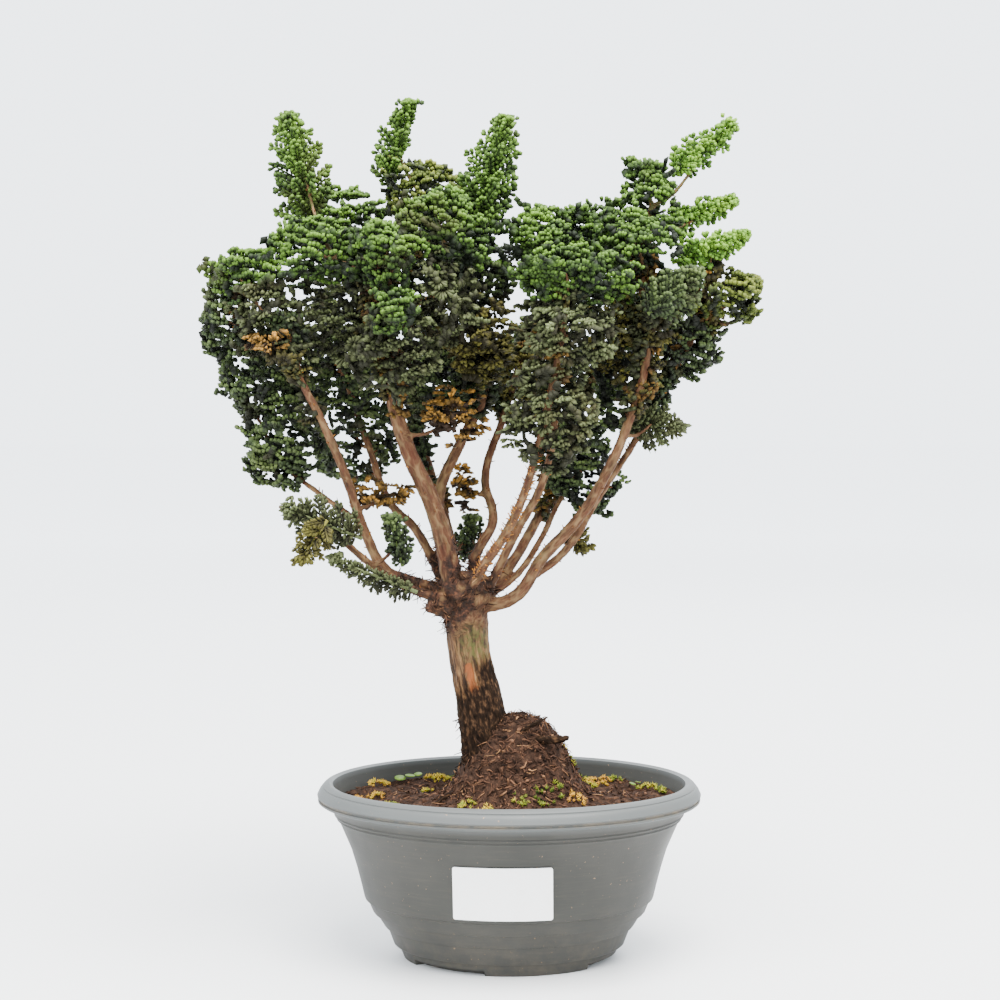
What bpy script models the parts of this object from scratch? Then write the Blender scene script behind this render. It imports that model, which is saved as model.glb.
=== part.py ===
"""Hinoki cypress bonsai, grown as a clump of stems, in an oval plastic training pot.

The tables are in millimetres. The origin is the middle of the pot's flat base,
+Z is up and -Y is the front. Each tuft of foliage is one solid held on its own twig.
"""

import math
import random

import bmesh
import bpy
from mathutils import Matrix, Vector
from mathutils.bvhtree import BVHTree

MM = 0.001
GAP = 0.35                  # clearance between neighbouring solids
ROUND_STEPS = 30            # flats round the pot and the soil

OVAL = 0.75                 # depth of the pot's body over its width
RIM_BORE = 87.5             # half width of the pot's opening
RIM_PROFILE = ((0.0, 86.6), (2.0, 87.5), (5.0, 85.5), (7.0, 82.5), (7.5, 80.6),
               (6.8, 80.0), (7.3, 79.0), (7.0, 77.8), (3.0, 77.4))
BODY_PROFILE = ((88.0, 74.0), (84.5, 69.0), (78.5, 55.0), (73.5, 37.0), (72.0, 30.5),
                (70.3, 29.0), (68.0, 23.5), (66.0, 22.2), (62.5, 16.5), (60.6, 15.3),
                (57.5, 7.0), (55.0, 6.2), (52.5, 0.0))
INSIDE_PROFILE = ((0.0, 3.0), (46.0, 3.0), (57.0, 13.0), (69.0, 32.0), (75.5, 55.0),
                  (84.0, 73.0), (86.8, 84.0))
DRAIN_HOLES = ((-34.0, 0.0), (34.0, 0.0), (-14.0, -16.0), (14.0, 16.0))
DRAIN_HOLE = 9.0            # diameter
FOOT_NOTCHES = (30.0, 136.0, 210.0, 316.0)    # where each notch starts, degrees
NOTCH_SPAN = 47.0
NOTCH_HEIGHT = 2.8
NOTCH_DEPTH = 5.0

LABEL_SPAN = (74.4, 110.6)  # degrees round the front of the wall
LABEL_HEIGHTS = (31.3, 57.8)
LABEL_THICKNESS = 0.5
LABEL_CORNER = 2.2
LABEL_GAP = 0.4

SOIL_EDGE = 79.0            # height of the soil at the wall
SOIL_RINGS = (0.78, 0.58, 0.44, 0.33, 0.22, 0.11)
CRUMBS = 1.3                # unevenness of the soil's surface
MOUND_TOP = (4.0, 1.0)
MOUND_HEIGHT = 40.0
MOUND_REACH = 29.0

# The trunk's middle line with its diameter, from the buried stump to the fork
TRUNK = ((-8, 0, 56, 20), (-9, 0, 74, 27), (-9, 0, 87, 30), (-10, 0, 96, 27.5),
         (-11, 0, 105, 25.5), (-13, 0, 117, 24), (-15, 0, 129, 23), (-18, 0, 142, 21),
         (-20, 0, 154, 20.4), (-21, 0, 166, 21.6), (-23, 0, 178, 23))
FORK = ((-23, -1, 180), (19, 13, 11))        # middle and radii of the swollen fork
CUT_STUB = ((-26, -6, 170), (-36, -13, 173))

# Stems: diameter at the foot, diameter at the tip, sides, then the points passed
STEMS = {
    "far_left": (6.5, 3.2, 6, ((-32, 0, 182), (-50, -6, 188), (-60, -10, 193), (-70, -14, 212),
                               (-79, -20, 240), (-90, -26, 267), (-100, -31, 289),
                               (-104, -32, 312))),
    "left_main": (11, 4.0, 6, ((-27, -4, 178), (-31, -7, 203), (-38, -10, 227), (-49, -15, 252),
                               (-56, -19, 276), (-61, -24, 309), (-70, -28, 333),
                               (-84, -24, 345))),
    "left_inner": (6.5, 3.2, 6, ((-31, 4, 190), (-35, 6, 227), (-23, 10, 257), (-13, 14, 278),
                                 (-15, 16, 310), (-28, 20, 345), (-42, 24, 378))),
    "middle": (6, 3.0, 6, ((-20, 4, 182), (-16, 7, 200), (-8, 14, 216), (-12, 22, 236),
                           (-3, 34, 266), (8, 46, 300), (30, 62, 340))),
    "front_middle": (5.6, 2.8, 6, ((-22, -8, 176), (-14, -22, 194), (0, -32, 216),
                                   (10, -43, 242), (18, -50, 275), (24, -48, 305),
                                   (28, -50, 330))),
    "right_inner": (5, 2.8, 6, ((-12, -2, 179), (2, -8, 209), (17, -15, 239), (22, -18, 270),
                                (20, -16, 305), (19, -14, 350))),
    "right_main": (7, 3.4, 6, ((-14, -3, 174), (3, -7, 180), (16, -10, 199), (34, -13, 219),
                               (45, -16, 237), (56, -20, 262), (66, -20, 298), (64, -14, 330),
                               (70, 4, 372))),
    "right_outer": (4.6, 2.8, 6, ((9, -6, 188), (27, 1, 201), (45, 8, 229), (62, 15, 254),
                                  (78, 12, 284), (98, -2, 320))),
    "low_right": (4.2, 2.4, 4, ((-14, 2, 178), (2, 11, 187), (15, 21, 204), (26, 30, 225),
                                (44, 40, 250))),
    "low_left": (5.2, 2.4, 6, ((-29, -6, 178), (-51, -16, 186), (-67, -26, 198),
                               (-88, -40, 217), (-108, -50, 227))),
    "left_back": (5.2, 2.6, 6, ((-32, 4, 184), (-46, 9, 211), (-60, 19, 225), (-70, 27, 250),
                                (-84, 40, 287), (-96, 56, 310))),
    "left_side": (3.2, 2.2, 4, ((-71, -15, 216), (-92, -7, 230), (-112, -2, 246),
                                (-124, 2, 268))),
    "back_left": (6, 2.8, 6, ((-24, 6, 178), (-32, 30, 214), (-46, 56, 258), (-50, 74, 292),
                              (-60, 72, 330), (-80, 68, 356))),
    "back_top": (3.6, 2.4, 4, ((-50, 74, 296), (-40, 74, 320), (-29, 71, 344))),
    "back_right": (6, 2.8, 6, ((-12, 4, 176), (8, 26, 204), (24, 50, 236), (34, 62, 272),
                               (56, 60, 300), (75, 59, 318))),
    "back_low": (3.6, 2.4, 4, ((23, 49, 234), (20, 68, 252), (17, 83, 273))),
}
ROOTS = (
    (5.0, 3.2, ((-9, 0, 98), (12, -12, 109), (24, -17, 111), (29, -19, 112))),
    (3.2, 1.8, ((-6, 0, 104), (10, -16, 117), (19, -22, 123))),
    (4.6, 2.6, ((-9, 0, 84), (-26, -10, 84), (-38, -16, 78))),
)

# Rounded tufts: colour, middle and radii
TUFTS = {
    "dome_middle": ("tawny", (-49, 22, 380), (32, 22, 16)),
    "crown_left": ("bright", (-93, -25, 348), (25, 22, 16)),
    "crown_front": ("bright", (-57, -44, 346), (18, 19, 18)),
    "crown_middle": ("bright", (-30, -26, 359), (20, 20, 19)),
    "shoulder_left": ("bright", (-130, -12, 337), (16, 18, 11)),
    "side_left": ("deep", (-140, 4, 316), (13, 18, 20)),
    "front_drop": ("bright", (-54, -64, 318), (11, 12, 11)),
    "inner_left": ("grey", (-112, -18, 318), (23, 20, 16)),
    "inner_dark": ("grey", (-80, -8, 317), (20, 18, 21)),
    "inner_middle": ("grey", (-35, -25, 328), (21, 19, 21)),
    "edge_middle": ("deep", (-13, 8, 347), (16, 19, 29)),
    "olive_middle": ("olive", (-14, -6, 305), (18, 17, 19)),
    "dead_left": ("ochre", (-111, -34, 303), (13, 11, 7)),
    "low_side_left": ("deep", (-122, 2, 282), (19, 17, 16)),
    "low_left": ("deep", (-110, -6, 252), (22, 17, 21)),
    "low_back_left": ("deep", (-76, 44, 258), (26, 20, 28)),
    "hollow_left": ("deep", (-83, 28, 290), (24, 20, 20)),
    "hollow_grey": ("grey", (-52, -38, 301), (20, 15, 19)),
    "dead_middle": ("ochre", (-28, -14, 268), (21, 12, 13)),
    "dead_low": ("ochre", (-63, -8, 230), (21, 11, 8)),
    "dead_high": ("ochre", (-21, 22, 233), (8, 9, 14)),
    "middle_low": ("deep", (-31, 26, 285), (22, 17, 21)),
    "olive_right": ("olive", (3, 38, 285), (15, 15, 20)),
    "crown_notch": ("bright", (15, -10, 354), (15, 17, 15)),
    "crown_right": ("bright", (45, 12, 359), (23, 19, 15)),
    "front_right": ("bright", (29, -46, 336), (24, 18, 13)),
    "shoulder_right": ("bright", (67, -22, 347), (20, 18, 19)),
    "top_right": ("bright", (71, 6, 379), (15, 16, 21)),
    "side_right": ("tawny", (108, -6, 326), (20, 17, 13)),
    "under_right": ("deep", (92, 10, 307), (14, 16, 19)),
    "inner_right": ("olive", (62, -2, 309), (22, 19, 23)),
    "hanging_upper": ("grey", (29, -44, 309), (24, 17, 19)),
    "hanging_low": ("grey", (22, -48, 266), (22, 15, 30)),
    "right_middle": ("deep", (62, 16, 279), (21, 17, 20)),
    "low_right": ("deep", (36, 28, 238), (22, 16, 27)),
    "rear_left": ("bright", (-85, 66, 361), (27, 24, 24)),
    "rear_middle": ("bright", (-31, 70, 359), (29, 24, 26)),
    "rear_right": ("bright", (40, 64, 347), (28, 24, 24)),
    "rear_side_right": ("deep", (76, 60, 317), (25, 22, 26)),
    "rear_side_left": ("deep", (-108, 56, 311), (28, 24, 30)),
    "rear_low": ("deep", (-49, 74, 304), (31, 22, 31)),
    "rear_low_right": ("deep", (19, 78, 293), (27, 22, 31)),
}
# Fingers and trailing sprays: colour, foot, tip and half width
FINGERS = {
    "finger_left": ("bright", (-97, 4, 362), (-110, 10, 419), 16),
    "finger_middle": ("bright", (-60, 23, 381), (-48, 26, 427), 13.5),
    "finger_right": ("bright", (-18, 4, 354), (0, 8, 418), 16.5),
    "finger_far": ("lime", (78, 8, 387), (114, 12, 413), 10),
    "finger_side": ("lime", (76, 12, 363), (115, 14, 375), 10),
    "finger_low": ("lime", (78, -18, 342), (117, -22, 356), 11.5),
    "blue_spray": ("deep", (65, -40, 317), (92, -36, 338), 14),
    "trailing_left": ("grey", (-70, -38, 211), (-108, -56, 228), 17),
    "trailing_front": ("olive", (-85, -56, 221), (-98, -64, 200), 13),
    "trailing_under": ("grey", (-44, -34, 185), (-87, -44, 203), 8),
    "sprig_front": ("deep", (-51, -30, 197), (-58, -34, 223), 9),
    "sprig_dark": ("deep", (-25, 38, 194), (-17, 44, 218), 10),
    "trailing_right": ("grey", (54, -2, 266), (87, -8, 262), 15),
    "sprig_right": ("olive", (29, 8, 213), (39, 12, 199), 9),
}
# A tuft is layers of flat sprays standing out from a core. Each spray has two lobes,
# and these are the distances of its outline from the tuft's axis, gap first.
SPRAY_OUTLINE = (0.42, 0.98, 0.74, 1.10, 0.80)
SPRAY_SIZES = (0.84, 1.08)
SPRAY_LIFT = 0.45           # how far a spray rises or dips, over the height of a layer
WAIST = 0.42                # the core between two layers, over the tuft's half width
POLE = 0.92                 # height of the core's ends, over the tuft's half height
TUFT_TAPER = (0.0, 0.55)    # narrowing towards the ends: with height, and with its square
FINGER_TAPER = (0.3, 0.25)
FULLNESS = 1.08             # a tuft's outermost tips over the radii in the table
FINGER_REACH = 1.06         # a finger's height over the distance from foot to tip
TUFT_LEAN = 0.3             # radians
BROAD_TUFT = 14.5           # a tuft wider than this has three sprays in a layer, not two
BROAD_FINGER = 12.5         # a finger wider than this has a fifth layer
FREE_OF_STEM = 0.65         # a stem nearer the middle than this share runs through a tuft
REACH_OF_WALLS = 3.5        # tufts further apart than this, over their widths, never meet

# Twigs: each leaves a stem above the bare part of the clump and sags on its way
BARE_HEIGHT = 196.0
BARE_SPAN = (-50.0, 12.0)
TWIG_THICKEST = 2.8
TWIG_SHARE = 0.85           # of the stem that it leaves
TWIG_TAPER = (1.0, 0.9, 0.75)
TWIG_BEND = 0.4             # where it bends, over its length
TWIG_SAG = 0.12
TWIG_SHORTEST = 1.0
FREE_OF_TWIG = 0.3          # a stem nearer the middle than this share meets the core itself

COLOURS = {
    "bright": ((0.135, 0.240, 0.055), 0.75),
    "lime": ((0.300, 0.400, 0.090), 0.75),
    "deep": ((0.050, 0.120, 0.050), 0.8),
    "grey": ((0.130, 0.165, 0.105), 0.85),
    "olive": ((0.150, 0.165, 0.060), 0.85),
    "tawny": ((0.210, 0.215, 0.075), 0.85),
    "ochre": ((0.400, 0.230, 0.080), 0.9),
    "wood": ((0.210, 0.130, 0.090), 0.9),
    "soil": ((0.055, 0.032, 0.022), 1.0),
    "plastic": ((0.110, 0.130, 0.145), 0.6),
    "paper": ((0.800, 0.790, 0.770), 0.7),
}


def clear_scene():
    for thing in list(bpy.data.objects):
        bpy.data.objects.remove(thing, do_unlink=True)


def new_collection(name):
    made = bpy.data.collections.new(name)
    bpy.context.scene.collection.children.link(made)
    return made


def painted(thing, colour):
    """Give one object a material of its own."""
    base, roughness = COLOURS[colour]
    material = bpy.data.materials.new(thing.name + "_" + colour)
    material.use_nodes = True
    shader = material.node_tree.nodes["Principled BSDF"]
    shader.inputs["Base Color"].default_value = (*base, 1.0)
    shader.inputs["Roughness"].default_value = roughness
    shader.inputs["Metallic"].default_value = 0.0
    thing.data.materials.clear()
    thing.data.materials.append(material)


def object_from(bm, name, collection):
    mesh = bpy.data.meshes.new(name)
    bm.to_mesh(mesh)
    bm.free()
    thing = bpy.data.objects.new(name, mesh)
    collection.objects.link(thing)
    return thing


def settled(thing):
    """The object's mesh as its modifiers leave it."""
    graph = bpy.context.evaluated_depsgraph_get()
    return bpy.data.meshes.new_from_object(thing.evaluated_get(graph))


def combine(thing, others, operation, solver="EXACT"):
    """Join solids to an object, or cut them from it, in one Boolean, and apply it."""
    repeats = new_collection("repeats")
    for other in others:
        repeats.objects.link(other)
    step = thing.modifiers.new("combine", "BOOLEAN")
    step.operation = operation
    step.operand_type = "COLLECTION"
    step.collection = repeats
    step.solver = solver
    mesh = settled(thing)
    thing.modifiers.clear()
    thing.data = mesh
    for other in others:
        repeats.objects.unlink(other)
    bpy.data.collections.remove(repeats)


def discard(things):
    for thing in things:
        bpy.data.objects.remove(thing, do_unlink=True)


def keep_largest_body(thing):
    """Drop the sealed hollows, loose scraps and flaps of no thickness that a Boolean leaves."""
    bm = bmesh.new()
    bm.from_mesh(thing.data)
    bmesh.ops.remove_doubles(bm, verts=bm.verts, dist=0.002 * MM)
    bmesh.ops.triangulate(bm, faces=bm.faces)
    same = {}
    for face in bm.faces:
        same.setdefault(frozenset(face.verts), []).append(face)
    flaps = [face for faces in same.values() if len(faces) == 2 for face in faces]
    bmesh.ops.delete(bm, geom=flaps, context="FACES")
    left = set(bm.verts)
    bodies = []
    while left:
        body, edge = set(), [left.pop()]
        while edge:
            vertex = edge.pop()
            body.add(vertex)
            for link in vertex.link_edges:
                other = link.other_vert(vertex)
                if other in left:
                    left.discard(other)
                    edge.append(other)
        bodies.append(body)
    bodies.sort(key=len)
    scraps = [vertex for body in bodies[:-1] for vertex in body]
    bmesh.ops.delete(bm, geom=scraps, context="VERTS")
    bm.to_mesh(thing.data)
    bm.free()


def half_depth(half_width):
    """The pot is an oval, with a rim that is equally wide all round."""
    body = min(half_width, RIM_BORE)
    return OVAL * body + half_width - body


def turned(name, profile, collection):
    """Turn a profile of half widths and heights, then press it oval."""
    bm = bmesh.new()
    corners = [bm.verts.new((width * MM, 0.0, height * MM)) for width, height in profile]
    for first, second in zip(corners, corners[1:]):
        bm.edges.new((first, second))
    thing = object_from(bm, name, collection)
    screw = thing.modifiers.new("turn", "SCREW")
    screw.steps = ROUND_STEPS
    screw.render_steps = ROUND_STEPS
    screw.use_merge_vertices = True
    screw.merge_threshold = 0.00001
    thing.data = settled(thing)
    thing.modifiers.clear()
    for vertex in thing.data.vertices:
        width = math.hypot(vertex.co.x, vertex.co.y)
        if width > 0.0:
            vertex.co.y *= half_depth(width / MM) * MM / width
    return thing


def ring_sector(name, start, span, inner, outer, low, high, collection):
    """A solid part of an oval ring, used to cut the foot."""
    bm = bmesh.new()
    turn = Matrix.Rotation(math.radians(start), 4, "Z")
    corners = ((inner, low), (outer, low), (outer, high), (inner, high))
    face = bm.faces.new([bm.verts.new(turn @ Vector((w * MM, 0.0, h * MM))) for w, h in corners])
    bmesh.ops.spin(bm, geom=[face, *face.edges, *face.verts], axis=(0, 0, 1), cent=(0, 0, 0),
                   angle=math.radians(span), steps=5, use_duplicate=False)
    bmesh.ops.scale(bm, vec=(1.0, OVAL, 1.0), verts=bm.verts)
    bmesh.ops.recalc_face_normals(bm, faces=bm.faces)
    return object_from(bm, name, collection)


def hidden_cutter(thing):
    thing.hide_render = True
    thing.display_type = "WIRE"


def cut_by(thing, cutter, name):
    cut = thing.modifiers.new(name, "BOOLEAN")
    cut.operation = "DIFFERENCE"
    cut.object = cutter
    cut.solver = "EXACT"


def build_pot(parts, cutters):
    rim = tuple((RIM_BORE + out, height) for out, height in RIM_PROFILE)
    pot = turned("pot", INSIDE_PROFILE + rim + BODY_PROFILE + ((0.0, 0.0),), parts)
    pot.data.shade_smooth()
    pot.data.set_sharp_from_angle(angle=math.radians(35))
    painted(pot, "plastic")
    foot = BODY_PROFILE[-1][0]
    for number, start in enumerate(FOOT_NOTCHES):
        notch = ring_sector("foot_notch_%d" % number, start, NOTCH_SPAN, foot - NOTCH_DEPTH,
                            foot + NOTCH_DEPTH, -NOTCH_HEIGHT, NOTCH_HEIGHT, cutters)
        hidden_cutter(notch)
        cut_by(pot, notch, "foot notch")
    for number, (x, y) in enumerate(DRAIN_HOLES):
        bm = bmesh.new()
        bmesh.ops.create_cone(bm, cap_ends=True, segments=12, radius1=DRAIN_HOLE / 2 * MM,
                              radius2=DRAIN_HOLE / 2 * MM, depth=4 * INSIDE_PROFILE[0][1] * MM)
        bmesh.ops.translate(bm, vec=(x * MM, y * MM, 0.0), verts=bm.verts)
        hole = object_from(bm, "drain_hole_%d" % number, cutters)
        hidden_cutter(hole)
        cut_by(pot, hole, "drain hole")


def half_width_at(profile, height):
    """Half width of one side of the pot's wall at a height."""
    for (width, level), (next_width, next_level) in zip(profile, profile[1:]):
        if min(level, next_level) <= height < max(level, next_level):
            share = (height - level) / (next_level - level)
            return width + (next_width - width) * share
    return profile[-1][0]


def build_label(parts):
    """A blank sticker that follows the curve of the front wall."""
    start, end = LABEL_SPAN
    low, high = LABEL_HEIGHTS
    middle = half_width_at(BODY_PROFILE, (low + high) / 2)
    width = middle * math.radians(end - start)
    height = high - low
    bm = bmesh.new()
    bmesh.ops.create_grid(bm, x_segments=8, y_segments=2, size=0.5)
    bmesh.ops.scale(bm, vec=(width, height, 1.0), verts=bm.verts)
    corners = [v for v in bm.verts if len(v.link_edges) == 2]
    bmesh.ops.bevel(bm, geom=corners, offset=LABEL_CORNER, offset_type="OFFSET", segments=2,
                    profile=0.5, affect="VERTICES", material=-1)
    off = LABEL_GAP + LABEL_THICKNESS / 2
    for vertex in bm.verts:
        level = (low + high) / 2 + vertex.co.y
        half_width = half_width_at(BODY_PROFILE, level)
        angle = math.radians((start + end) / 2) - vertex.co.x / half_width
        vertex.co = Vector(((half_width + off) * math.cos(angle),
                            -(half_depth(half_width) + off) * math.sin(angle), level)) * MM
    bmesh.ops.recalc_face_normals(bm, faces=bm.faces)
    label = object_from(bm, "label", parts)
    sheet = label.modifiers.new("paper", "SOLIDIFY")
    sheet.thickness = LABEL_THICKNESS * MM
    sheet.offset = 0.0
    painted(label, "paper")


def soil_height(x, y):
    """Soil level: a slope down to the back, and a flat-topped mound by the trunk."""
    away = math.hypot(x - MOUND_TOP[0], (y - MOUND_TOP[1]) * 1.15)
    mound = MOUND_HEIGHT * math.exp(-(away / MOUND_REACH) ** 4)
    ripple = 1.5 * math.sin(x * 0.13 + 1.0) * math.cos(y * 0.16)
    return SOIL_EDGE - y * 0.02 + mound + ripple


def build_soil(parts, wood_hole):
    floor = INSIDE_PROFILE[1]
    side = [(w - 2 * GAP, z) for w, z in INSIDE_PROFILE[2:-1]]
    edge = (half_width_at(INSIDE_PROFILE, SOIL_EDGE) - 2 * GAP, SOIL_EDGE)
    rings = [(edge[0] * share, SOIL_EDGE) for share in SOIL_RINGS]
    profile = [(0.0, SOIL_EDGE), *reversed(rings), edge, *reversed(side),
               (floor[0] - 2 * GAP, floor[1] + GAP), (0.0, floor[1] + GAP)]
    soil = turned("soil", profile, parts)
    draw = random.Random(11)
    for vertex in soil.data.vertices:
        x, y = vertex.co.x / MM, vertex.co.y / MM
        inward = math.hypot(x, y / OVAL) < edge[0] - 1.0
        if vertex.co.z > (SOIL_EDGE - 1.0) * MM and inward:
            vertex.co.z = (soil_height(x, y) + draw.uniform(-CRUMBS, CRUMBS)) * MM
    combine(soil, [wood_hole], "DIFFERENCE")
    keep_largest_body(soil)
    painted(soil, "soil")


def stem_solid(points, diameters, sides, grow):
    """A round stem through the points, closed at both ends, as a mesh object."""
    curve = bpy.data.curves.new("stem", "CURVE")
    curve.dimensions = "3D"
    curve.bevel_depth = 0.5 * MM
    curve.bevel_resolution = sides // 2 - 2
    curve.use_fill_caps = True
    spline = curve.splines.new("POLY")
    spline.points.add(len(points) - 1)
    for spot, place, diameter in zip(spline.points, points, diameters):
        spot.co = (*(Vector(place) * MM), 1.0)
        spot.radius = diameter + 2 * grow
    holder = bpy.data.objects.new("stem", curve)
    bpy.context.scene.collection.objects.link(holder)
    bpy.context.view_layer.update()
    mesh = settled(holder)
    bpy.data.objects.remove(holder, do_unlink=True)
    bpy.data.curves.remove(curve)
    bm = bmesh.new()
    bm.from_mesh(mesh)
    bmesh.ops.remove_doubles(bm, verts=bm.verts, dist=0.01 * MM)
    bmesh.ops.recalc_face_normals(bm, faces=bm.faces)
    return object_from(bm, "stem", bpy.context.scene.collection)


def lump_solid(centre, radii, detail, grow=0.0, rough=0.0, seed=0):
    """A round-cornered lump from an icosphere."""
    draw = random.Random(seed)
    bm = bmesh.new()
    bmesh.ops.create_icosphere(bm, subdivisions=detail, radius=1.0)
    for vertex in bm.verts:
        size = 1.0 + draw.uniform(-rough, rough)
        vertex.co = Vector([(c + v * (r * size + grow)) * MM
                            for c, v, r in zip(centre, vertex.co, radii)])
    return object_from(bm, "lump", bpy.context.scene.collection)


def even_taper(first, last, count):
    return [first + (last - first) * n / (count - 1) for n in range(count)]


def stem_anchors():
    """Points along the stems from which a twig can leave, with the stem's diameter there."""
    anchors = []
    for foot_size, tip_size, _, points in STEMS.values():
        sizes = even_taper(foot_size, tip_size, len(points))
        for number in range(len(points) - 1):
            first, last = Vector(points[number]), Vector(points[number + 1])
            for share in (0.0, 0.25, 0.5, 0.75, 1.0):
                spot = first.lerp(last, share)
                if spot.z > BARE_HEIGHT or not BARE_SPAN[0] <= spot.x <= BARE_SPAN[1]:
                    size = sizes[number] + (sizes[number + 1] - sizes[number]) * share
                    anchors.append((spot, size))
    return anchors


def twig_routes(tufts):
    """A twig for each tuft, from the nearest stem that isn't above it."""
    anchors = stem_anchors()
    routes = {}
    for tuft in tufts:
        middle = tuft.foot.lerp(tuft.tip, 0.3)

        def cost(anchor):
            spot = anchor[0]
            return (middle - spot).length + 0.8 * max(0.0, spot.z - middle.z + 5.0)

        spot, size = min(anchors, key=cost)
        span = middle - spot
        if span.length > FREE_OF_TWIG * tuft.width:
            bend = spot + span * TWIG_BEND - Vector((0.0, 0.0, TWIG_SAG * span.length))
            thick = min(TWIG_THICKEST, TWIG_SHARE * size)
            routes[tuft.name] = ((spot, bend, middle), [thick * share for share in TWIG_TAPER])
    return routes


def wood_runs(routes):
    """Straight runs of stem and twig as ends and radius."""
    runs = []
    for foot_size, tip_size, _, points in STEMS.values():
        sizes = even_taper(foot_size, tip_size, len(points))
        for number in range(len(points) - 1):
            ends = Vector(points[number]), Vector(points[number + 1])
            runs.append((*ends, sizes[number] / 2))
    for points, sizes in routes.values():
        for number in range(len(points) - 1):
            runs.append((points[number], points[number + 1], sizes[number] / 2))
    return runs


def seated(route, solid):
    """Stop a twig just short of its tuft, or in its core where the stem stands in the tuft."""
    (spot, bend, middle), sizes = route
    tree = tree_of(solid)
    for start, way in ((bend, middle - bend), (spot, bend - spot)):
        way = way.normalized()
        side = way.orthogonal() * sizes[2] / 2
        runs = []
        leaving = False
        for turn in range(8):
            offset = Matrix.Rotation(turn * math.pi / 4, 3, way) @ side
            place, normal, _, distance = tree.ray_cast((start + offset) * MM, way)
            if place is not None:
                runs.append(distance / MM)
                leaving = leaving or normal.dot(way) > 0.0
        if runs and not leaving and min(runs) > TWIG_SHORTEST:
            seat = start + way * (min(runs) - GAP)
            points = [spot, bend, seat] if start is bend else [spot, seat]
            return points, sizes[:len(points)]
    way = (middle - spot).normalized()
    place, normal, _, _ = tree.ray_cast(spot * MM, way)
    if place is not None and normal.dot(way) > 0.0:
        return [spot, middle], sizes[:2]
    return None


def wood_solids(routes, grow):
    """Every stem, root and twig as its own overlapping solid, grown by a clearance."""
    solids = []
    trunk_points = [(x, y, z) for x, y, z, _ in TRUNK]
    trunk_sizes = [diameter for *_, diameter in TRUNK]
    solids.append(stem_solid(trunk_points, trunk_sizes, 12, grow))
    solids.append(lump_solid(*FORK, detail=2, grow=grow, rough=0.07, seed=4))
    solids.append(stem_solid(CUT_STUB, (7.0, 6.0), 6, grow))
    for foot_size, tip_size, sides, points in STEMS.values():
        sizes = even_taper(foot_size, tip_size, len(points))
        solids.append(stem_solid(points, sizes, sides, grow))
    for foot_size, tip_size, points in ROOTS:
        solids.append(stem_solid(points, even_taper(foot_size, tip_size, len(points)), 6, grow))
    for points, sizes in routes:
        solids.append(stem_solid(points, sizes, 4, grow))
    return solids


def fused_wood(name, routes, grow, collection):
    trunk, *others = wood_solids(routes, grow)
    combine(trunk, others, "UNION", "MANIFOLD")
    discard(others)
    keep_largest_body(trunk)
    trunk.name = name
    bpy.context.scene.collection.objects.unlink(trunk)
    collection.objects.link(trunk)
    return trunk


def unit_stack(layers, sprays, taper, seed):
    """Layers of lobed sprays round an upright core, in a unit ball or a slimmer finger."""
    draw = random.Random(seed)
    around = len(SPRAY_OUTLINE) * sprays
    bm = bmesh.new()
    bmesh.ops.create_uvsphere(bm, u_segments=around, v_segments=2 * layers, radius=1.0)
    shares = {}
    for vertex in bm.verts:
        ring = round(math.acos(max(-1.0, min(1.0, vertex.co.z))) / math.pi * 2 * layers)
        place = round(math.atan2(vertex.co.y, vertex.co.x) / math.tau * around) % around
        level = 1.0 - ring / layers
        shares[vertex] = (ring, place, level)
    sizes = {}
    for vertex, (ring, place, level) in shares.items():
        if ring in (0, 2 * layers):
            vertex.co = Vector((0.0, 0.0, POLE * level))
            continue
        angle = place / around * math.tau
        width, lift = WAIST, 0.0
        if ring % 2:
            shifted = (place + 2 * ring) % around
            spray = (ring, shifted // len(SPRAY_OUTLINE))
            if spray not in sizes:
                lift = draw.uniform(-SPRAY_LIFT, SPRAY_LIFT) / layers
                sizes[spray] = (draw.uniform(*SPRAY_SIZES), lift)
            size, lift = sizes[spray]
            width = SPRAY_OUTLINE[shifted % len(SPRAY_OUTLINE)] * size
        width *= 1.0 - taper[0] * level - taper[1] * level * level
        width *= draw.uniform(0.95, 1.05)
        vertex.co = Vector((width * math.cos(angle), width * math.sin(angle), level + lift))
    return bm


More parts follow.
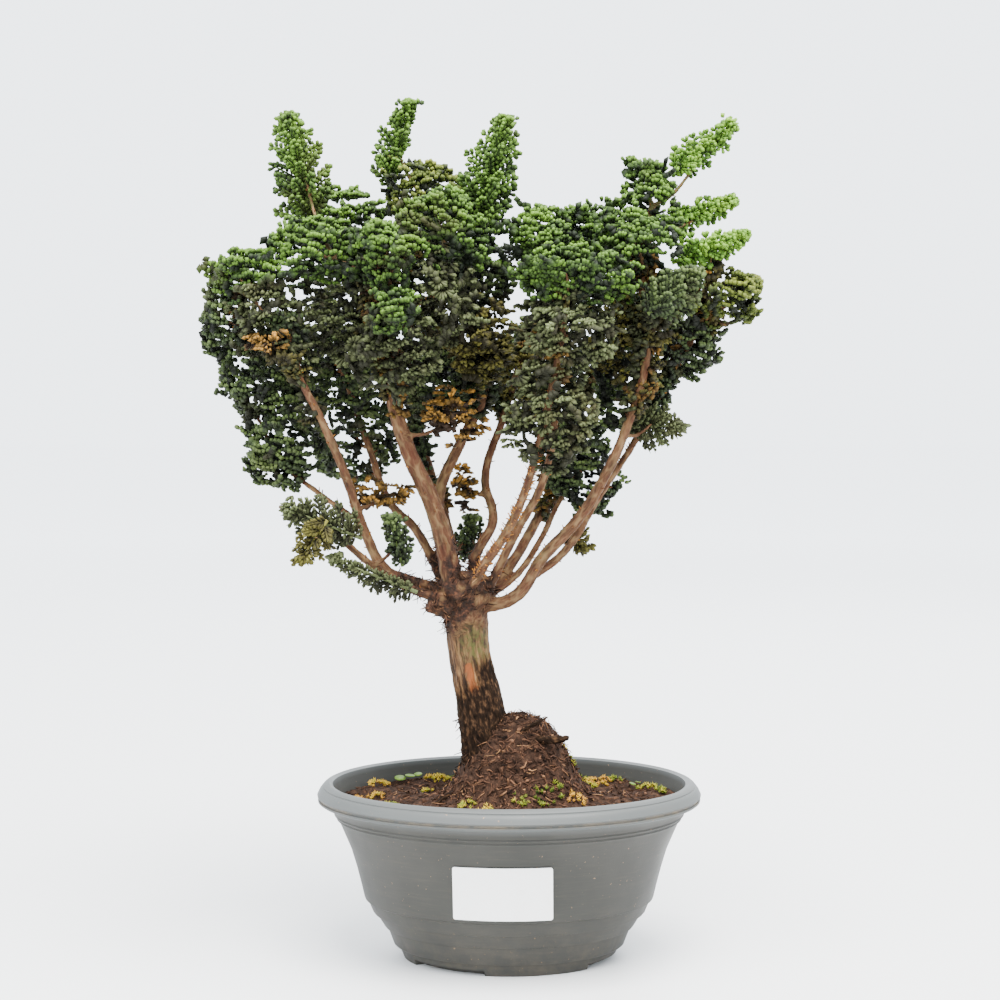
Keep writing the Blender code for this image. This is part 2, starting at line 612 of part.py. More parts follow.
class Tuft:
    """One tuft's place: the axis that it is gathered round, its frame and its clear space."""

    def __init__(self, name):
        self.name = name
        seed = sum(ord(letter) * (n + 1) for n, letter in enumerate(name))
        if name in TUFTS:
            self.colour, middle, radii = TUFTS[name]
            self.foot = self.tip = Vector(middle)
            self.width = sum(radii) / 3
            draw = random.Random(seed)
            lean = Matrix.Rotation(draw.uniform(-TUFT_LEAN, TUFT_LEAN), 4, "X")
            lean = lean @ Matrix.Rotation(draw.uniform(-TUFT_LEAN, TUFT_LEAN), 4, "Y")
            size = Matrix.Diagonal((*(Vector(radii) * FULLNESS), 1.0))
            self.frame = Matrix.Translation(middle) @ size @ lean
            layers, sprays, taper = 3, 3 if self.width > BROAD_TUFT else 2, TUFT_TAPER
        else:
            self.colour, foot, tip, self.width = FINGERS[name]
            self.foot, self.tip = Vector(foot), Vector(tip)
            along = self.tip - self.foot
            turn = along.to_track_quat("Z", "Y").to_matrix().to_4x4()
            wide = self.width * FULLNESS
            size = Matrix.Diagonal((wide, wide, along.length / 2 * FINGER_REACH, 1.0))
            self.frame = Matrix.Translation((self.foot + self.tip) / 2) @ turn @ size
            layers, sprays, taper = 5 if self.width > BROAD_FINGER else 4, 2, FINGER_TAPER
        self.shape = (layers, sprays, taper, seed)
        self.walls = []

    def nearest(self, spot):
        """The point of the tuft's axis nearest to a point."""
        along = self.tip - self.foot
        if along.length < 0.001:
            return self.foot.copy()
        share = (spot - self.foot).dot(along) / along.length_squared
        return self.foot + along * max(0.0, min(1.0, share))

    def solid(self):
        bm = unit_stack(*self.shape)
        bmesh.ops.transform(bm, matrix=self.frame, verts=bm.verts)
        for vertex in bm.verts:
            centre = self.nearest(vertex.co)
            reach = vertex.co - centre
            share = 1.0
            for point, way in self.walls:
                room = (point - centre).dot(way)
                wanted = reach.dot(way)
                if wanted > room:
                    share = min(share, max(0.02, room / wanted))
            vertex.co = (centre + reach * share) * MM
        bmesh.ops.triangulate(bm, faces=bm.faces)
        bmesh.ops.recalc_face_normals(bm, faces=bm.faces)
        return object_from(bm, "foliage_" + self.name, bpy.context.scene.collection)


def closest_pair(tuft, first, last):
    """Nearest points of a tuft's axis and of a straight run."""
    there = (first + last) / 2
    for _ in range(12):
        here = tuft.nearest(there)
        run = last - first
        share = (here - first).dot(run) / max(run.length_squared, 1e-9)
        there = first + run * max(0.0, min(1.0, share))
    return here, there


def share_out_room(tufts, runs):
    """Put a wall between each two tufts, and one before each stem that passes by."""
    for tuft in tufts:
        for other in tufts:
            if other is tuft:
                continue
            here, there = closest_pair(tuft, other.foot, other.tip)
            gap = there - here
            edge = gap.length * tuft.width / (tuft.width + other.width) - GAP / 2
            if gap.length < REACH_OF_WALLS * (tuft.width + other.width):
                tuft.walls.append((here + gap.normalized() * edge, gap.normalized()))
        for first, last, radius in runs:
            here, there = closest_pair(tuft, first, last)
            gap = there - here
            if gap.length > FREE_OF_STEM * tuft.width:
                edge = gap.length - radius - 1.5 * GAP
                tuft.walls.append((here + gap.normalized() * edge, gap.normalized()))


def build_foliage(parts, tufts, solids, wood_hole):
    hole_tree = tree_of(wood_hole)
    for tuft in tufts:
        solid = solids[tuft.name]
        if tree_of(solid).overlap(hole_tree):
            combine(solid, [wood_hole], "DIFFERENCE")
            keep_largest_body(solid)
        bpy.context.scene.collection.objects.unlink(solid)
        parts.objects.link(solid)
        painted(solid, tuft.colour)


def tree_of(thing):
    return BVHTree.FromPolygons([v.co for v in thing.data.vertices],
                                [tuple(p.vertices) for p in thing.data.polygons])


def build():
    clear_scene()
    parts = new_collection("hinoki_cypress_bonsai")
    cutters = new_collection("cutters")
    build_pot(parts, cutters)
    build_label(parts)
    tufts = [Tuft(name) for name in (*TUFTS, *FINGERS)]
    routes = twig_routes(tufts)
    share_out_room(tufts, wood_runs(routes))
    solids = {tuft.name: tuft.solid() for tuft in tufts}
    seats = [seated(route, solids[name]) for name, route in routes.items()]
    seats = [seat for seat in seats if seat]
    wood = fused_wood("trunk_and_branches", seats, 0.0, parts)
    painted(wood, "wood")
    wood_hole = fused_wood("wood_hole", seats, GAP, cutters)
    hidden_cutter(wood_hole)
    build_soil(parts, wood_hole)
    build_foliage(parts, tufts, solids, wood_hole)


build()
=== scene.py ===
"""Looks of a hinoki cypress bonsai in its training pot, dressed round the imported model.

Lengths are in millimetres unless a name says otherwise. +Z is up and -Y is the front.
"""

import math
import random

import bmesh
import bpy
from mathutils import Matrix, Vector, noise
from mathutils.bvhtree import BVHTree
from mathutils.kdtree import KDTree


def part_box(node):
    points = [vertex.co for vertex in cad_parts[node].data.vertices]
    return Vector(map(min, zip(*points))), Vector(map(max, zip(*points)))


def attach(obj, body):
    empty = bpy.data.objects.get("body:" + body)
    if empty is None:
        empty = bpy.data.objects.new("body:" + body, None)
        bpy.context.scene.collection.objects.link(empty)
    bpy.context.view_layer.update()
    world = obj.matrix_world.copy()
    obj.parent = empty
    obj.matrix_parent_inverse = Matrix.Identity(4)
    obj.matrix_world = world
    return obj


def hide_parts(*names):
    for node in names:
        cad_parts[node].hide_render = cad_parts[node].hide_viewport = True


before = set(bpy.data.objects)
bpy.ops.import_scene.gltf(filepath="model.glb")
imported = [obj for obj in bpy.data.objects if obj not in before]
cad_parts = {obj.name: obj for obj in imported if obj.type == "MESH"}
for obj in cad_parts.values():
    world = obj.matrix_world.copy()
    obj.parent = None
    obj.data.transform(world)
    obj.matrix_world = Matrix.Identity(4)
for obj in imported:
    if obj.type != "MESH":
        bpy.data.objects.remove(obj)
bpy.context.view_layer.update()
MM = 0.001

# Camera at the height of the crown, a metre in front of the pot, looking slightly down,
# with a long lens, as in the photograph.
CAMERA_PLACE = (-0.0045, -1.0, 0.290)
CAMERA_DROP = 0.063
CAMERA_LENS = 73.26

camera_data = bpy.data.cameras.new("camera")
camera_data.sensor_width = 36.0
camera_data.lens = CAMERA_LENS
camera = bpy.data.objects.new("camera", camera_data)
camera.location = CAMERA_PLACE
camera.rotation_euler = (math.pi / 2 - CAMERA_DROP, 0.0, 0.0)
bpy.context.scene.collection.objects.link(camera)
bpy.context.scene.camera = camera

# Studio: a pale floor that runs on to the horizon, even light from all round, one large
# soft lamp above and in front, and weaker ones from the left and from behind.
FLOOR_SIDE = 14.0
FLOOR_NEAR = (0.60, 0.60, 0.595)
FLOOR_FAR = (0.985, 0.985, 0.985)
FLOOR_PALING = (0.3, 2.6)   # distances between which the floor grows paler, in metres
SKY_COLOUR = (0.88, 0.94, 1.0)
SKY_STRENGTH = 4.2
LAMPS = {                   # place, side, power and colour
    "overhead": ((0.15, -0.45, 1.50), 0.9, 120.0, (1.0, 0.985, 0.96)),
    "left": ((-1.2, -0.7, 0.75), 0.9, 12.0, (0.95, 0.98, 1.0)),
    "rear": ((0.3, 1.2, 1.1), 1.2, 14.0, (1.0, 1.0, 1.0)),
}
LAMPS_AIM = Vector((0.0, 0.0, 0.22))


def from_screen(red, green, blue):
    """A colour as a screen shows it, 0 to 255, in the linear values that a shader takes."""
    shares = [value / 255.0 for value in (red, green, blue)]
    return tuple(s / 12.92 if s <= 0.04045 else ((s + 0.055) / 1.055) ** 2.4 for s in shares)


class Finish:
    """A material under construction: short names for the nodes that the finishes share."""

    def __init__(self, name, roughness, specular=0.5):
        self.material = bpy.data.materials.new(name)
        self.material.use_nodes = True
        self.tree = self.material.node_tree
        self.shader = self.tree.nodes["Principled BSDF"]
        self.shader.inputs["Roughness"].default_value = roughness
        self.shader.inputs["Specular IOR Level"].default_value = specular
        self.place = self.node("ShaderNodeTexCoord").outputs["Object"]

    def node(self, kind, **settings):
        made = self.tree.nodes.new(kind)
        for key, value in settings.items():
            setattr(made, key, value)
        return made

    def join(self, source, target):
        self.tree.links.new(source, target)

    def stretched(self, source, scale):
        mapping = self.node("ShaderNodeMapping")
        mapping.inputs["Scale"].default_value = scale
        self.join(source, mapping.inputs["Vector"])
        return mapping.outputs["Vector"]

    def noise(self, scale, detail=3.0, rough=0.55, source=None):
        made = self.node("ShaderNodeTexNoise")
        made.inputs["Scale"].default_value = scale
        made.inputs["Detail"].default_value = detail
        made.inputs["Roughness"].default_value = rough
        self.join(source or self.place, made.inputs["Vector"])
        return made.outputs["Fac"]

    def cells(self, scale, source=None):
        made = self.node("ShaderNodeTexVoronoi")
        made.inputs["Scale"].default_value = scale
        self.join(source or self.place, made.inputs["Vector"])
        return made.outputs["Distance"]

    def attribute(self, name, output="Fac"):
        return self.node("ShaderNodeAttribute", attribute_name=name).outputs[output]

    def ramp(self, source, *stops):
        """Colours at places along a value, each stop a place and a linear colour."""
        made = self.node("ShaderNodeValToRGB")
        elements = made.color_ramp.elements
        while len(elements) < len(stops):
            elements.new(0.5)
        for element, (place, colour) in zip(elements, stops):
            element.position = place
            element.color = (*colour, 1.0)
        self.join(source, made.inputs["Fac"])
        return made.outputs["Color"]

    def between(self, source, low, high, start=0.0, end=1.0):
        made = self.node("ShaderNodeMapRange", clamp=True)
        for name, value in (("From Min", low), ("From Max", high), ("To Min", start), ("To Max", end)):
            made.inputs[name].default_value = value
        self.join(source, made.inputs["Value"])
        return made.outputs["Result"]

    def maths(self, operation, first, second):
        made = self.node("ShaderNodeMath", operation=operation)
        for number, value in enumerate((first, second)):
            if isinstance(value, float):
                made.inputs[number].default_value = value
            else:
                self.join(value, made.inputs[number])
        return made.outputs["Value"]

    def mix(self, share, first, second, blend="MIX"):
        made = self.node("ShaderNodeMix", data_type="RGBA", blend_type=blend)
        for socket, value in ((0, share), (6, first), (7, second)):
            if isinstance(value, float):
                made.inputs[socket].default_value = value
            elif isinstance(value, tuple):
                made.inputs[socket].default_value = (*value, 1.0)
            else:
                self.join(value, made.inputs[socket])
        return made.outputs[2]

    def axis(self, letter, source=None):
        split = self.node("ShaderNodeSeparateXYZ")
        self.join(source or self.place, split.inputs["Vector"])
        return split.outputs[letter]

    def colour(self, source):
        self.join(source, self.shader.inputs["Base Color"])

    def rough(self, source):
        self.join(source, self.shader.inputs["Roughness"])

    def bump(self, height, strength, distance):
        made = self.node("ShaderNodeBump")
        made.inputs["Strength"].default_value = strength
        made.inputs["Distance"].default_value = distance * MM
        self.join(height, made.inputs["Height"])
        earlier = self.shader.inputs["Normal"].links
        if earlier:
            self.join(earlier[0].from_socket, made.inputs["Normal"])
        self.join(made.outputs["Normal"], self.shader.inputs["Normal"])


bpy.ops.mesh.primitive_plane_add(size=FLOOR_SIDE)
floor = bpy.context.active_object
floor.name = "floor"
floor_finish = Finish("pale_floor", 0.55)
away = floor_finish.node("ShaderNodeVectorMath", operation="LENGTH")
floor_finish.join(floor_finish.place, away.inputs[0])
floor_finish.colour(floor_finish.mix(floor_finish.between(away.outputs["Value"], *FLOOR_PALING),
                                     FLOOR_NEAR, FLOOR_FAR))
floor.data.materials.append(floor_finish.material)

world = bpy.data.worlds.new("studio")
world.use_nodes = True
world.node_tree.nodes["Background"].inputs["Color"].default_value = (*SKY_COLOUR, 1.0)
world.node_tree.nodes["Background"].inputs["Strength"].default_value = SKY_STRENGTH
bpy.context.scene.world = world

for lamp_name, (lamp_place, lamp_side, lamp_power, lamp_colour) in LAMPS.items():
    lamp_data = bpy.data.lights.new(lamp_name, "AREA")
    lamp_data.size = lamp_side
    lamp_data.energy = lamp_power
    lamp_data.color = lamp_colour
    lamp = bpy.data.objects.new(lamp_name, lamp_data)
    lamp.location = lamp_place
    lamp.rotation_euler = (LAMPS_AIM - Vector(lamp_place)).to_track_quat("-Z", "Y").to_euler()
    bpy.context.scene.collection.objects.link(lamp)

# Pot: one thin moulding of slate grey plastic, pressed oval, with a rolled and grooved rim,
# fine ridges below it, soft steps low on the wall and a foot with four shallow arches.
OVAL = 0.75                 # depth of the pot's body over its width
RIM_BORE = 87.5
RIM_PROFILE = ((0.0, 86.6), (2.0, 87.5), (3.8, 86.7), (4.7, 85.9), (4.7, 85.4), (5.6, 84.8),
               (6.5, 83.6), (7.1, 82.3), (7.6, 81.3), (7.5, 80.7), (6.5, 80.1), (6.6, 79.6),
               (7.3, 79.1), (7.2, 78.3), (6.4, 77.7), (3.0, 77.4))
WALL_PROFILE = ((88.0, 74.0), (86.6, 72.3), (86.8, 71.6), (85.4, 70.3), (85.6, 69.6),
                (84.2, 68.3), (78.5, 55.0), (75.8, 46.0), (73.5, 37.0),
                (72.0, 30.5), (71.6, 29.6), (70.3, 29.0), (68.0, 23.5), (67.2, 22.5),
                (66.0, 22.2), (62.5, 16.5), (61.8, 15.6), (60.6, 15.3), (57.5, 7.0),
                (56.8, 6.4), (55.0, 6.2), (52.5, 0.0))
INSIDE_PROFILE = ((0.0, 3.0), (46.0, 3.0), (57.0, 13.0), (69.0, 32.0), (75.5, 55.0),
                  (84.0, 73.0), (86.8, 84.0))
POT_STEPS = 160
FOOT_ARCHES = (30.0, 136.0, 210.0, 316.0)
ARCH_SPAN = 47.0
ARCH_HEIGHT = 2.8
ARCH_DEPTH = 5.0
ARCH_STEPS = 24
DRAIN_HOLES = ((-34.0, 0.0), (34.0, 0.0), (-14.0, -16.0), (14.0, 16.0))
DRAIN_HOLE = 9.0
DRAIN_HOLE_SIDES = 32
DRAIN_CUT = 12.0            # height of the cutter, more than the floor's thickness
POT_EDGE = 0.45             # rounding of the moulding's edges
POT_EDGE_ANGLE = 28         # edges sharper than this are rounded, in degrees
POT_SHARP_ANGLE = 40        # edges sharper than this stay crisp in the shading
RIM_FOOT = 77.2             # the rim is paler than the wall from this height up
RIM_SHARE = 0.985           # and from this share of the bore outwards
SLATE = from_screen(47, 46, 42)
SLATE_DARK = from_screen(40, 40, 37)
SLATE_RIM = from_screen(67, 69, 68)
POT_DUST = from_screen(104, 90, 72)
POT_SPECKS = from_screen(150, 116, 84)
GROOVE_DUST = from_screen(142, 122, 92)
GROOVE = (0.0788, 0.0797, 0.0803, 0.0811)   # dust has settled between these, in metres
DUSTY_FOOT = (0.006, 0.034)                 # splashes fade out between these, in metres


def half_depth(half_width):
    """The wall is an oval, with a rim that is equally wide all round."""
    body = min(half_width, RIM_BORE)
    return OVAL * body + half_width - body


def finished(bm, name, material, slot, *replaced):
    """Make the piece from its mesh, at the origin, and hide the parts that it replaces. Its slot is not
    used.
    """
    mesh = bpy.data.meshes.new(name)
    bm.to_mesh(mesh)
    bm.free()
    piece = bpy.data.objects.new(name, mesh)
    bpy.context.scene.collection.objects.link(piece)
    mesh.materials.append(material)
    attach(piece, "root")
    if replaced:
        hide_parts(*replaced)
    return piece


def applied(piece):
    """Put what the modifiers make in the piece's own mesh."""
    graph = bpy.context.evaluated_depsgraph_get()
    piece.data = bpy.data.meshes.new_from_object(piece.evaluated_get(graph))
    piece.modifiers.clear()


def cut_away(piece, cutter_mesh):
    """Cut one solid from the piece."""
    mesh = bpy.data.meshes.new("cutter")
    cutter_mesh.to_mesh(mesh)
    cutter_mesh.free()
    cutter = bpy.data.objects.new("cutter", mesh)
    bpy.context.scene.collection.objects.link(cutter)
    step = piece.modifiers.new("cut", "BOOLEAN")
    step.operation = "DIFFERENCE"
    step.object = cutter
    applied(piece)
    bpy.data.objects.remove(cutter, do_unlink=True)


def slate_plastic():
    finish = Finish("slate_plastic", 0.5, 0.24)
    cloud = finish.noise(22.0, 4.0)
    base = finish.mix(finish.between(cloud, 0.35, 0.7), SLATE, SLATE_DARK)
    streaks = finish.noise(1.0, 5.0, 0.7, finish.stretched(finish.place, (60.0, 60.0, 900.0)))
    base = finish.mix(finish.attribute("rim"), base, SLATE_RIM)
    base = finish.mix(finish.between(streaks, 0.5, 0.78, 0.0, 0.08), base, POT_DUST)
    height = finish.axis("Z")
    band = finish.maths("MULTIPLY", finish.between(height, GROOVE[0], GROOVE[1]),
                        finish.between(height, GROOVE[2], GROOVE[3], 1.0, 0.0))
    settled = finish.between(finish.noise(90.0, 4.0, 0.6), 0.42, 0.68, 0.04, 0.42)
    on_rim = finish.maths("MULTIPLY", band, finish.attribute("rim"))
    base = finish.mix(finish.maths("MULTIPLY", on_rim, settled), base, GROOVE_DUST)
    low = finish.between(height, *DUSTY_FOOT, 1.0, 0.0)
    dust = finish.between(finish.noise(140.0, 6.0, 0.7), 0.42, 0.75)
    splashes = finish.maths("MULTIPLY", finish.maths("MULTIPLY", low, dust), 0.18)
    base = finish.mix(splashes, base, POT_DUST)
    specks = finish.between(finish.noise(700.0, 2.0), 0.71, 0.76, 0.0, 0.5)
    finish.colour(finish.mix(specks, base, POT_SPECKS))
    finish.rough(finish.between(cloud, 0.3, 0.7, 0.42, 0.6))
    finish.bump(finish.noise(1500.0, 3.0), 0.25, 0.12)
    finish.bump(streaks, 0.2, 0.1)
    return finish.material


bm = bmesh.new()
pot_profile = list(INSIDE_PROFILE) + [(RIM_BORE + out, level) for out, level in RIM_PROFILE]
pot_profile += list(WALL_PROFILE) + [(0.0, 0.0)]
corners = [bm.verts.new((width * MM, 0.0, level * MM)) for width, level in pot_profile]
edges = [bm.edges.new(pair) for pair in zip(corners, corners[1:])]
bmesh.ops.spin(bm, geom=corners + edges, cent=(0, 0, 0), axis=(0, 0, 1), angle=2 * math.pi,
               steps=POT_STEPS, use_merge=True, use_duplicate=False)
bmesh.ops.remove_doubles(bm, verts=bm.verts, dist=0.01 * MM)
bmesh.ops.recalc_face_normals(bm, faces=bm.faces)
for vertex in bm.verts:
    across = math.hypot(vertex.co.x, vertex.co.y)
    if across > 0.0:
        vertex.co.y *= half_depth(across / MM) * MM / across
pot = finished(bm, "pot_moulding", slate_plastic(), "pot_plastic", "pot")
for start in FOOT_ARCHES:
    bm = bmesh.new()
    turn = Matrix.Rotation(math.radians(start), 4, "Z")
    inner, outer = WALL_PROFILE[-1][0] - ARCH_DEPTH, WALL_PROFILE[-1][0] + ARCH_DEPTH
    outline = ((inner, -ARCH_HEIGHT), (outer, -ARCH_HEIGHT),
               (outer, ARCH_HEIGHT), (inner, ARCH_HEIGHT))
    face = bm.faces.new([bm.verts.new(turn @ Vector((w * MM, 0.0, h * MM))) for w, h in outline])
    bmesh.ops.spin(bm, geom=[face, *face.edges, *face.verts], axis=(0, 0, 1), cent=(0, 0, 0),
                   angle=math.radians(ARCH_SPAN), steps=ARCH_STEPS, use_duplicate=False)
    bmesh.ops.scale(bm, vec=(1.0, OVAL, 1.0), verts=bm.verts)
    bmesh.ops.recalc_face_normals(bm, faces=bm.faces)
    cut_away(pot, bm)
for x, y in DRAIN_HOLES:
    bm = bmesh.new()
    bmesh.ops.create_cone(bm, cap_ends=True, segments=DRAIN_HOLE_SIDES, radius1=DRAIN_HOLE / 2 * MM,
                          radius2=DRAIN_HOLE / 2 * MM, depth=DRAIN_CUT * MM)
    bmesh.ops.translate(bm, vec=(x * MM, y * MM, 0.0), verts=bm.verts)
    cut_away(pot, bm)
rounding = pot.modifiers.new("rounding", "BEVEL")
rounding.width = POT_EDGE * MM
rounding.segments = 2
rounding.limit_method = "ANGLE"
rounding.angle_limit = math.radians(POT_EDGE_ANGLE)
applied(pot)
rim_share = pot.data.attributes.new("rim", "FLOAT", "POINT")
for vertex, share in zip(pot.data.vertices, rim_share.data):
    width, depth, level = (side / MM for side in vertex.co)
    outwards = depth / half_depth(RIM_BORE + 1.0), width / (RIM_BORE + 1.0)
    share.value = 1.0 if math.hypot(*outwards) > RIM_SHARE and level > RIM_FOOT else 0.0
pot.data.shade_smooth()
pot.data.set_sharp_from_angle(angle=math.radians(POT_SHARP_ANGLE))

# Label: a small white paper sticker with round corners, pressed on the front of the wall
# so that it follows the curve, and left blank. It has picked up a little dirt in faint patches.
LABEL_SPAN = (74.4, 110.6)  # degrees round the front of the wall
LABEL_HEIGHTS = (31.3, 57.8)
LABEL_THICKNESS = 0.35
LABEL_OFF = 0.6             # from the wall to the middle of the paper
LABEL_CORNER = 2.2
LABEL_STEPS = (36, 12)
LABEL_WAVE = 0.12           # how unevenly the paper lies
LABEL_SHARP_ANGLE = 50
PAPER_DULL = (0.80, 0.79, 0.77)
PAPER_CLEAN = (0.86, 0.855, 0.84)
PAPER_STAIN = from_screen(205, 203, 196)


def half_width_at(profile, height):
    """Half width of one side of the pot's wall at a height."""
    for (width, level), (next_width, next_level) in zip(profile, profile[1:]):
        if min(level, next_level) <= height < max(level, next_level):
            share = (height - level) / (next_level - level)
            return width + (next_width - width) * share
    return profile[-1][0]


def paper():
    finish = Finish("label_paper", 0.62)
    fibres = finish.noise(1800.0, 4.0)
    base = finish.mix(finish.between(fibres, 0.3, 0.7), PAPER_DULL, PAPER_CLEAN)
    stain = finish.between(finish.noise(90.0, 4.0), 0.52, 0.8, 0.0, 0.25)
    finish.colour(finish.mix(stain, base, PAPER_STAIN))
    finish.bump(fibres, 0.12, 0.05)
    return finish.material


bm = bmesh.new()
label_start, label_end = (math.radians(angle) for angle in LABEL_SPAN)
label_low, label_high = LABEL_HEIGHTS
label_radius = half_width_at(WALL_PROFILE, (label_low + label_high) / 2)
bmesh.ops.create_grid(bm, x_segments=LABEL_STEPS[0], y_segments=LABEL_STEPS[1], size=0.5)
bmesh.ops.scale(bm, vec=(label_radius * (label_end - label_start), label_high - label_low, 1.0),
                verts=bm.verts)
label_corners = [vertex for vertex in bm.verts if len(vertex.link_edges) == 2]
bmesh.ops.bevel(bm, geom=label_corners, offset=LABEL_CORNER * 0.5, offset_type="OFFSET", segments=5,
                profile=0.5, affect="VERTICES", material=-1)
for vertex in bm.verts:
    level = (label_low + label_high) / 2 + vertex.co.y
    wall = half_width_at(WALL_PROFILE, level)
    angle = (label_start + label_end) / 2 - vertex.co.x / wall
    lift = LABEL_OFF + LABEL_WAVE * noise.noise(vertex.co * 0.11)
    vertex.co = Vector(((wall + lift) * math.cos(angle),
                        -(half_depth(wall) + lift) * math.sin(angle), level)) * MM
bmesh.ops.recalc_face_normals(bm, faces=bm.faces)
label = finished(bm, "label_sticker", paper(), "label_paper", "label")
sheet = label.modifiers.new("paper", "SOLIDIFY")
sheet.thickness = LABEL_THICKNESS * MM
sheet.offset = 0.0
applied(label)
label.data.shade_smooth()
label.data.set_sharp_from_angle(angle=math.radians(LABEL_SHARP_ANGLE))

# Soil: a dark, fibrous potting mix that fills the pot to just below the rim and is heaped
# round the trunk. Clods, crumbs and grit make its surface uneven.
SOIL_EDGE = 79.0
SOIL_GAP = 0.7              # from the pot's inner wall
MOUND_TOP = (4.0, 1.0)
MOUND_HEIGHT = 40.0
MOUND_REACH = 29.0
MOUND_NARROW = 1.15         # the mound's width over its depth
SOIL_FALL = 0.02            # slope down to the back
SOIL_RIPPLE = 1.5
SOIL_GRID = (150, 112)
SOIL_DARK = from_screen(20, 13, 9)
SOIL_MID = from_screen(42, 29, 22)
SOIL_LIGHT = from_screen(68, 49, 37)
SOIL_FIBRE = from_screen(84, 56, 40)


def soil_height(x, y):
    """Soil level: a slope down to the back, and a flat-topped mound by the trunk."""
    away = math.hypot(x - MOUND_TOP[0], (y - MOUND_TOP[1]) * MOUND_NARROW)
    mound = MOUND_HEIGHT * math.exp(-(away / MOUND_REACH) ** 4)
    ripple = SOIL_RIPPLE * math.sin(x * 0.13 + 1.0) * math.cos(y * 0.16)
    return SOIL_EDGE - y * SOIL_FALL + mound + ripple


def crumbled(x, y, level):
    """The same level with clods, crumbs and grit on it."""
    spot = Vector((x, y, level))
    clods = 1.4 * noise.noise(spot * 0.16)
    crumbs = 1.1 * (0.5 - noise.voronoi(spot * 0.42)[0][0])
    grit = 0.5 * noise.noise(spot * 0.9)
    return level + clods + crumbs + grit - 0.4


def potting_mix():
    finish = Finish("potting_mix", 0.95, 0.06)
    lumps = finish.noise(260.0, 6.0, 0.7)
    base = finish.ramp(lumps, (0.32, SOIL_DARK), (0.52, SOIL_MID), (0.72, SOIL_LIGHT))
    fibres = finish.noise(1.0, 4.0, 0.6, finish.stretched(finish.place, (900.0, 260.0, 500.0)))
    finish.colour(finish.mix(finish.between(fibres, 0.55, 0.72, 0.0, 0.6), base, SOIL_FIBRE))
    finish.bump(lumps, 0.7, 1.2)
    finish.bump(finish.cells(900.0), 0.4, 0.5)
    return finish.material


bm = bmesh.new()
bmesh.ops.create_grid(bm, x_segments=SOIL_GRID[0], y_segments=SOIL_GRID[1], size=1.0)
soil_edge = half_width_at(INSIDE_PROFILE, SOIL_EDGE) - SOIL_GAP
for vertex in bm.verts:
    u, v = vertex.co.x, vertex.co.y
    x = soil_edge * u * math.sqrt(1.0 - v * v / 2)
    y = soil_edge * OVAL * v * math.sqrt(1.0 - u * u / 2)
    vertex.co = Vector((x, y, crumbled(x, y, soil_height(x, y)))) * MM
soil_rim = [edge for edge in bm.edges if len(edge.link_faces) == 1]
for width, level in reversed(INSIDE_PROFILE[1:-1]):
    grown = bmesh.ops.extrude_edge_only(bm, edges=soil_rim)["geom"]
    soil_rim = [item for item in grown if isinstance(item, bmesh.types.BMEdge)]
    below = [item for item in grown if isinstance(item, bmesh.types.BMVert)]
    for vertex in below:
        share = math.hypot(vertex.co.x, vertex.co.y / OVAL)
        vertex.co.x *= (width - SOIL_GAP) * MM / share
        vertex.co.y *= (width - SOIL_GAP) * MM / share
        vertex.co.z = (level + SOIL_GAP) * MM
bmesh.ops.holes_fill(bm, edges=[edge for edge in bm.edges if len(edge.link_faces) == 1])
bmesh.ops.recalc_face_normals(bm, faces=bm.faces)
for face in bm.faces:
    face.smooth = True
finished(bm, "potting_soil", potting_mix(), "soil", "soil")

# Litter on the soil: crumbs, flat shreds of bark and fine root fibres lie loose on the
# surface, thickest on the mound, and run from nearly black to a pale dry brown.
CRUMB_COUNT = 330
SHRED_COUNT = 1900
FIBRE_COUNT = 650
CRUMB_CROWD = 0.35          # share of the crumbs that lie on the mound alone
STRAND_CROWD = 0.5          # and of the shreds and fibres
LITTER_REACH = 82.0         # half the width of the soil that carries litter
MOUND_LITTER = (38, 33)     # half width and half depth of the mound's own litter
LITTER_COLOURS = ((0.0, from_screen(17, 11, 8)), (0.35, from_screen(45, 31, 23)),
                  (0.6, from_screen(70, 48, 36)), (0.8, from_screen(100, 70, 50)),
                  (0.97, from_screen(140, 104, 70)))


def shaped_unit(bm):
    """A small mesh to be placed many times, with values for its tip and its tone."""
    for face in bm.faces:
        face.smooth = True
    mesh = bpy.data.meshes.new("unit")
    bm.to_mesh(mesh)
    bm.free()
    return mesh


def place_unit(bm, unit, matrix, tone):
    """Add one copy of a unit, turned into place."""
    start = len(bm.verts)
    bm.from_mesh(unit)
    bm.verts.ensure_lookup_table()
    fresh = bm.verts[start:]
    bmesh.ops.transform(bm, matrix=matrix, verts=fresh)
    layer = bm.verts.layers.float["tone"]
    for vertex in fresh:
        vertex[layer] = tone


def toned_mesh():
    """An empty mesh with the two values that the finishes of the repeats read."""
    bm = bmesh.new()
    bm.verts.layers.float.new("tip")
    bm.verts.layers.float.new("tone")
    return bm


def placed(spot, turn, shape):
    """Where a unit goes: given its shape in millimetres, turned, and moved to its spot."""
    return Matrix.Scale(MM, 4) @ Matrix.Translation(spot) @ turn @ shape


def facing(forward, top):
    """A turn that puts X along forward and Z as near to top as it can be."""
    forward = forward.normalized()
    side = top.cross(forward)
    if side.length < 0.05:
        side = Vector((1.0, 0.3, 0.2)).cross(forward)
    side.normalize()
    return Matrix((forward, side, forward.cross(side))).transposed().to_4x4()


def crumb_unit(seed):
    draw = random.Random(seed)
    bm = toned_mesh()
    bmesh.ops.create_icosphere(bm, subdivisions=1, radius=1.0)
    for vertex in bm.verts:
        vertex.co *= draw.uniform(0.7, 1.2)
    return shaped_unit(bm)


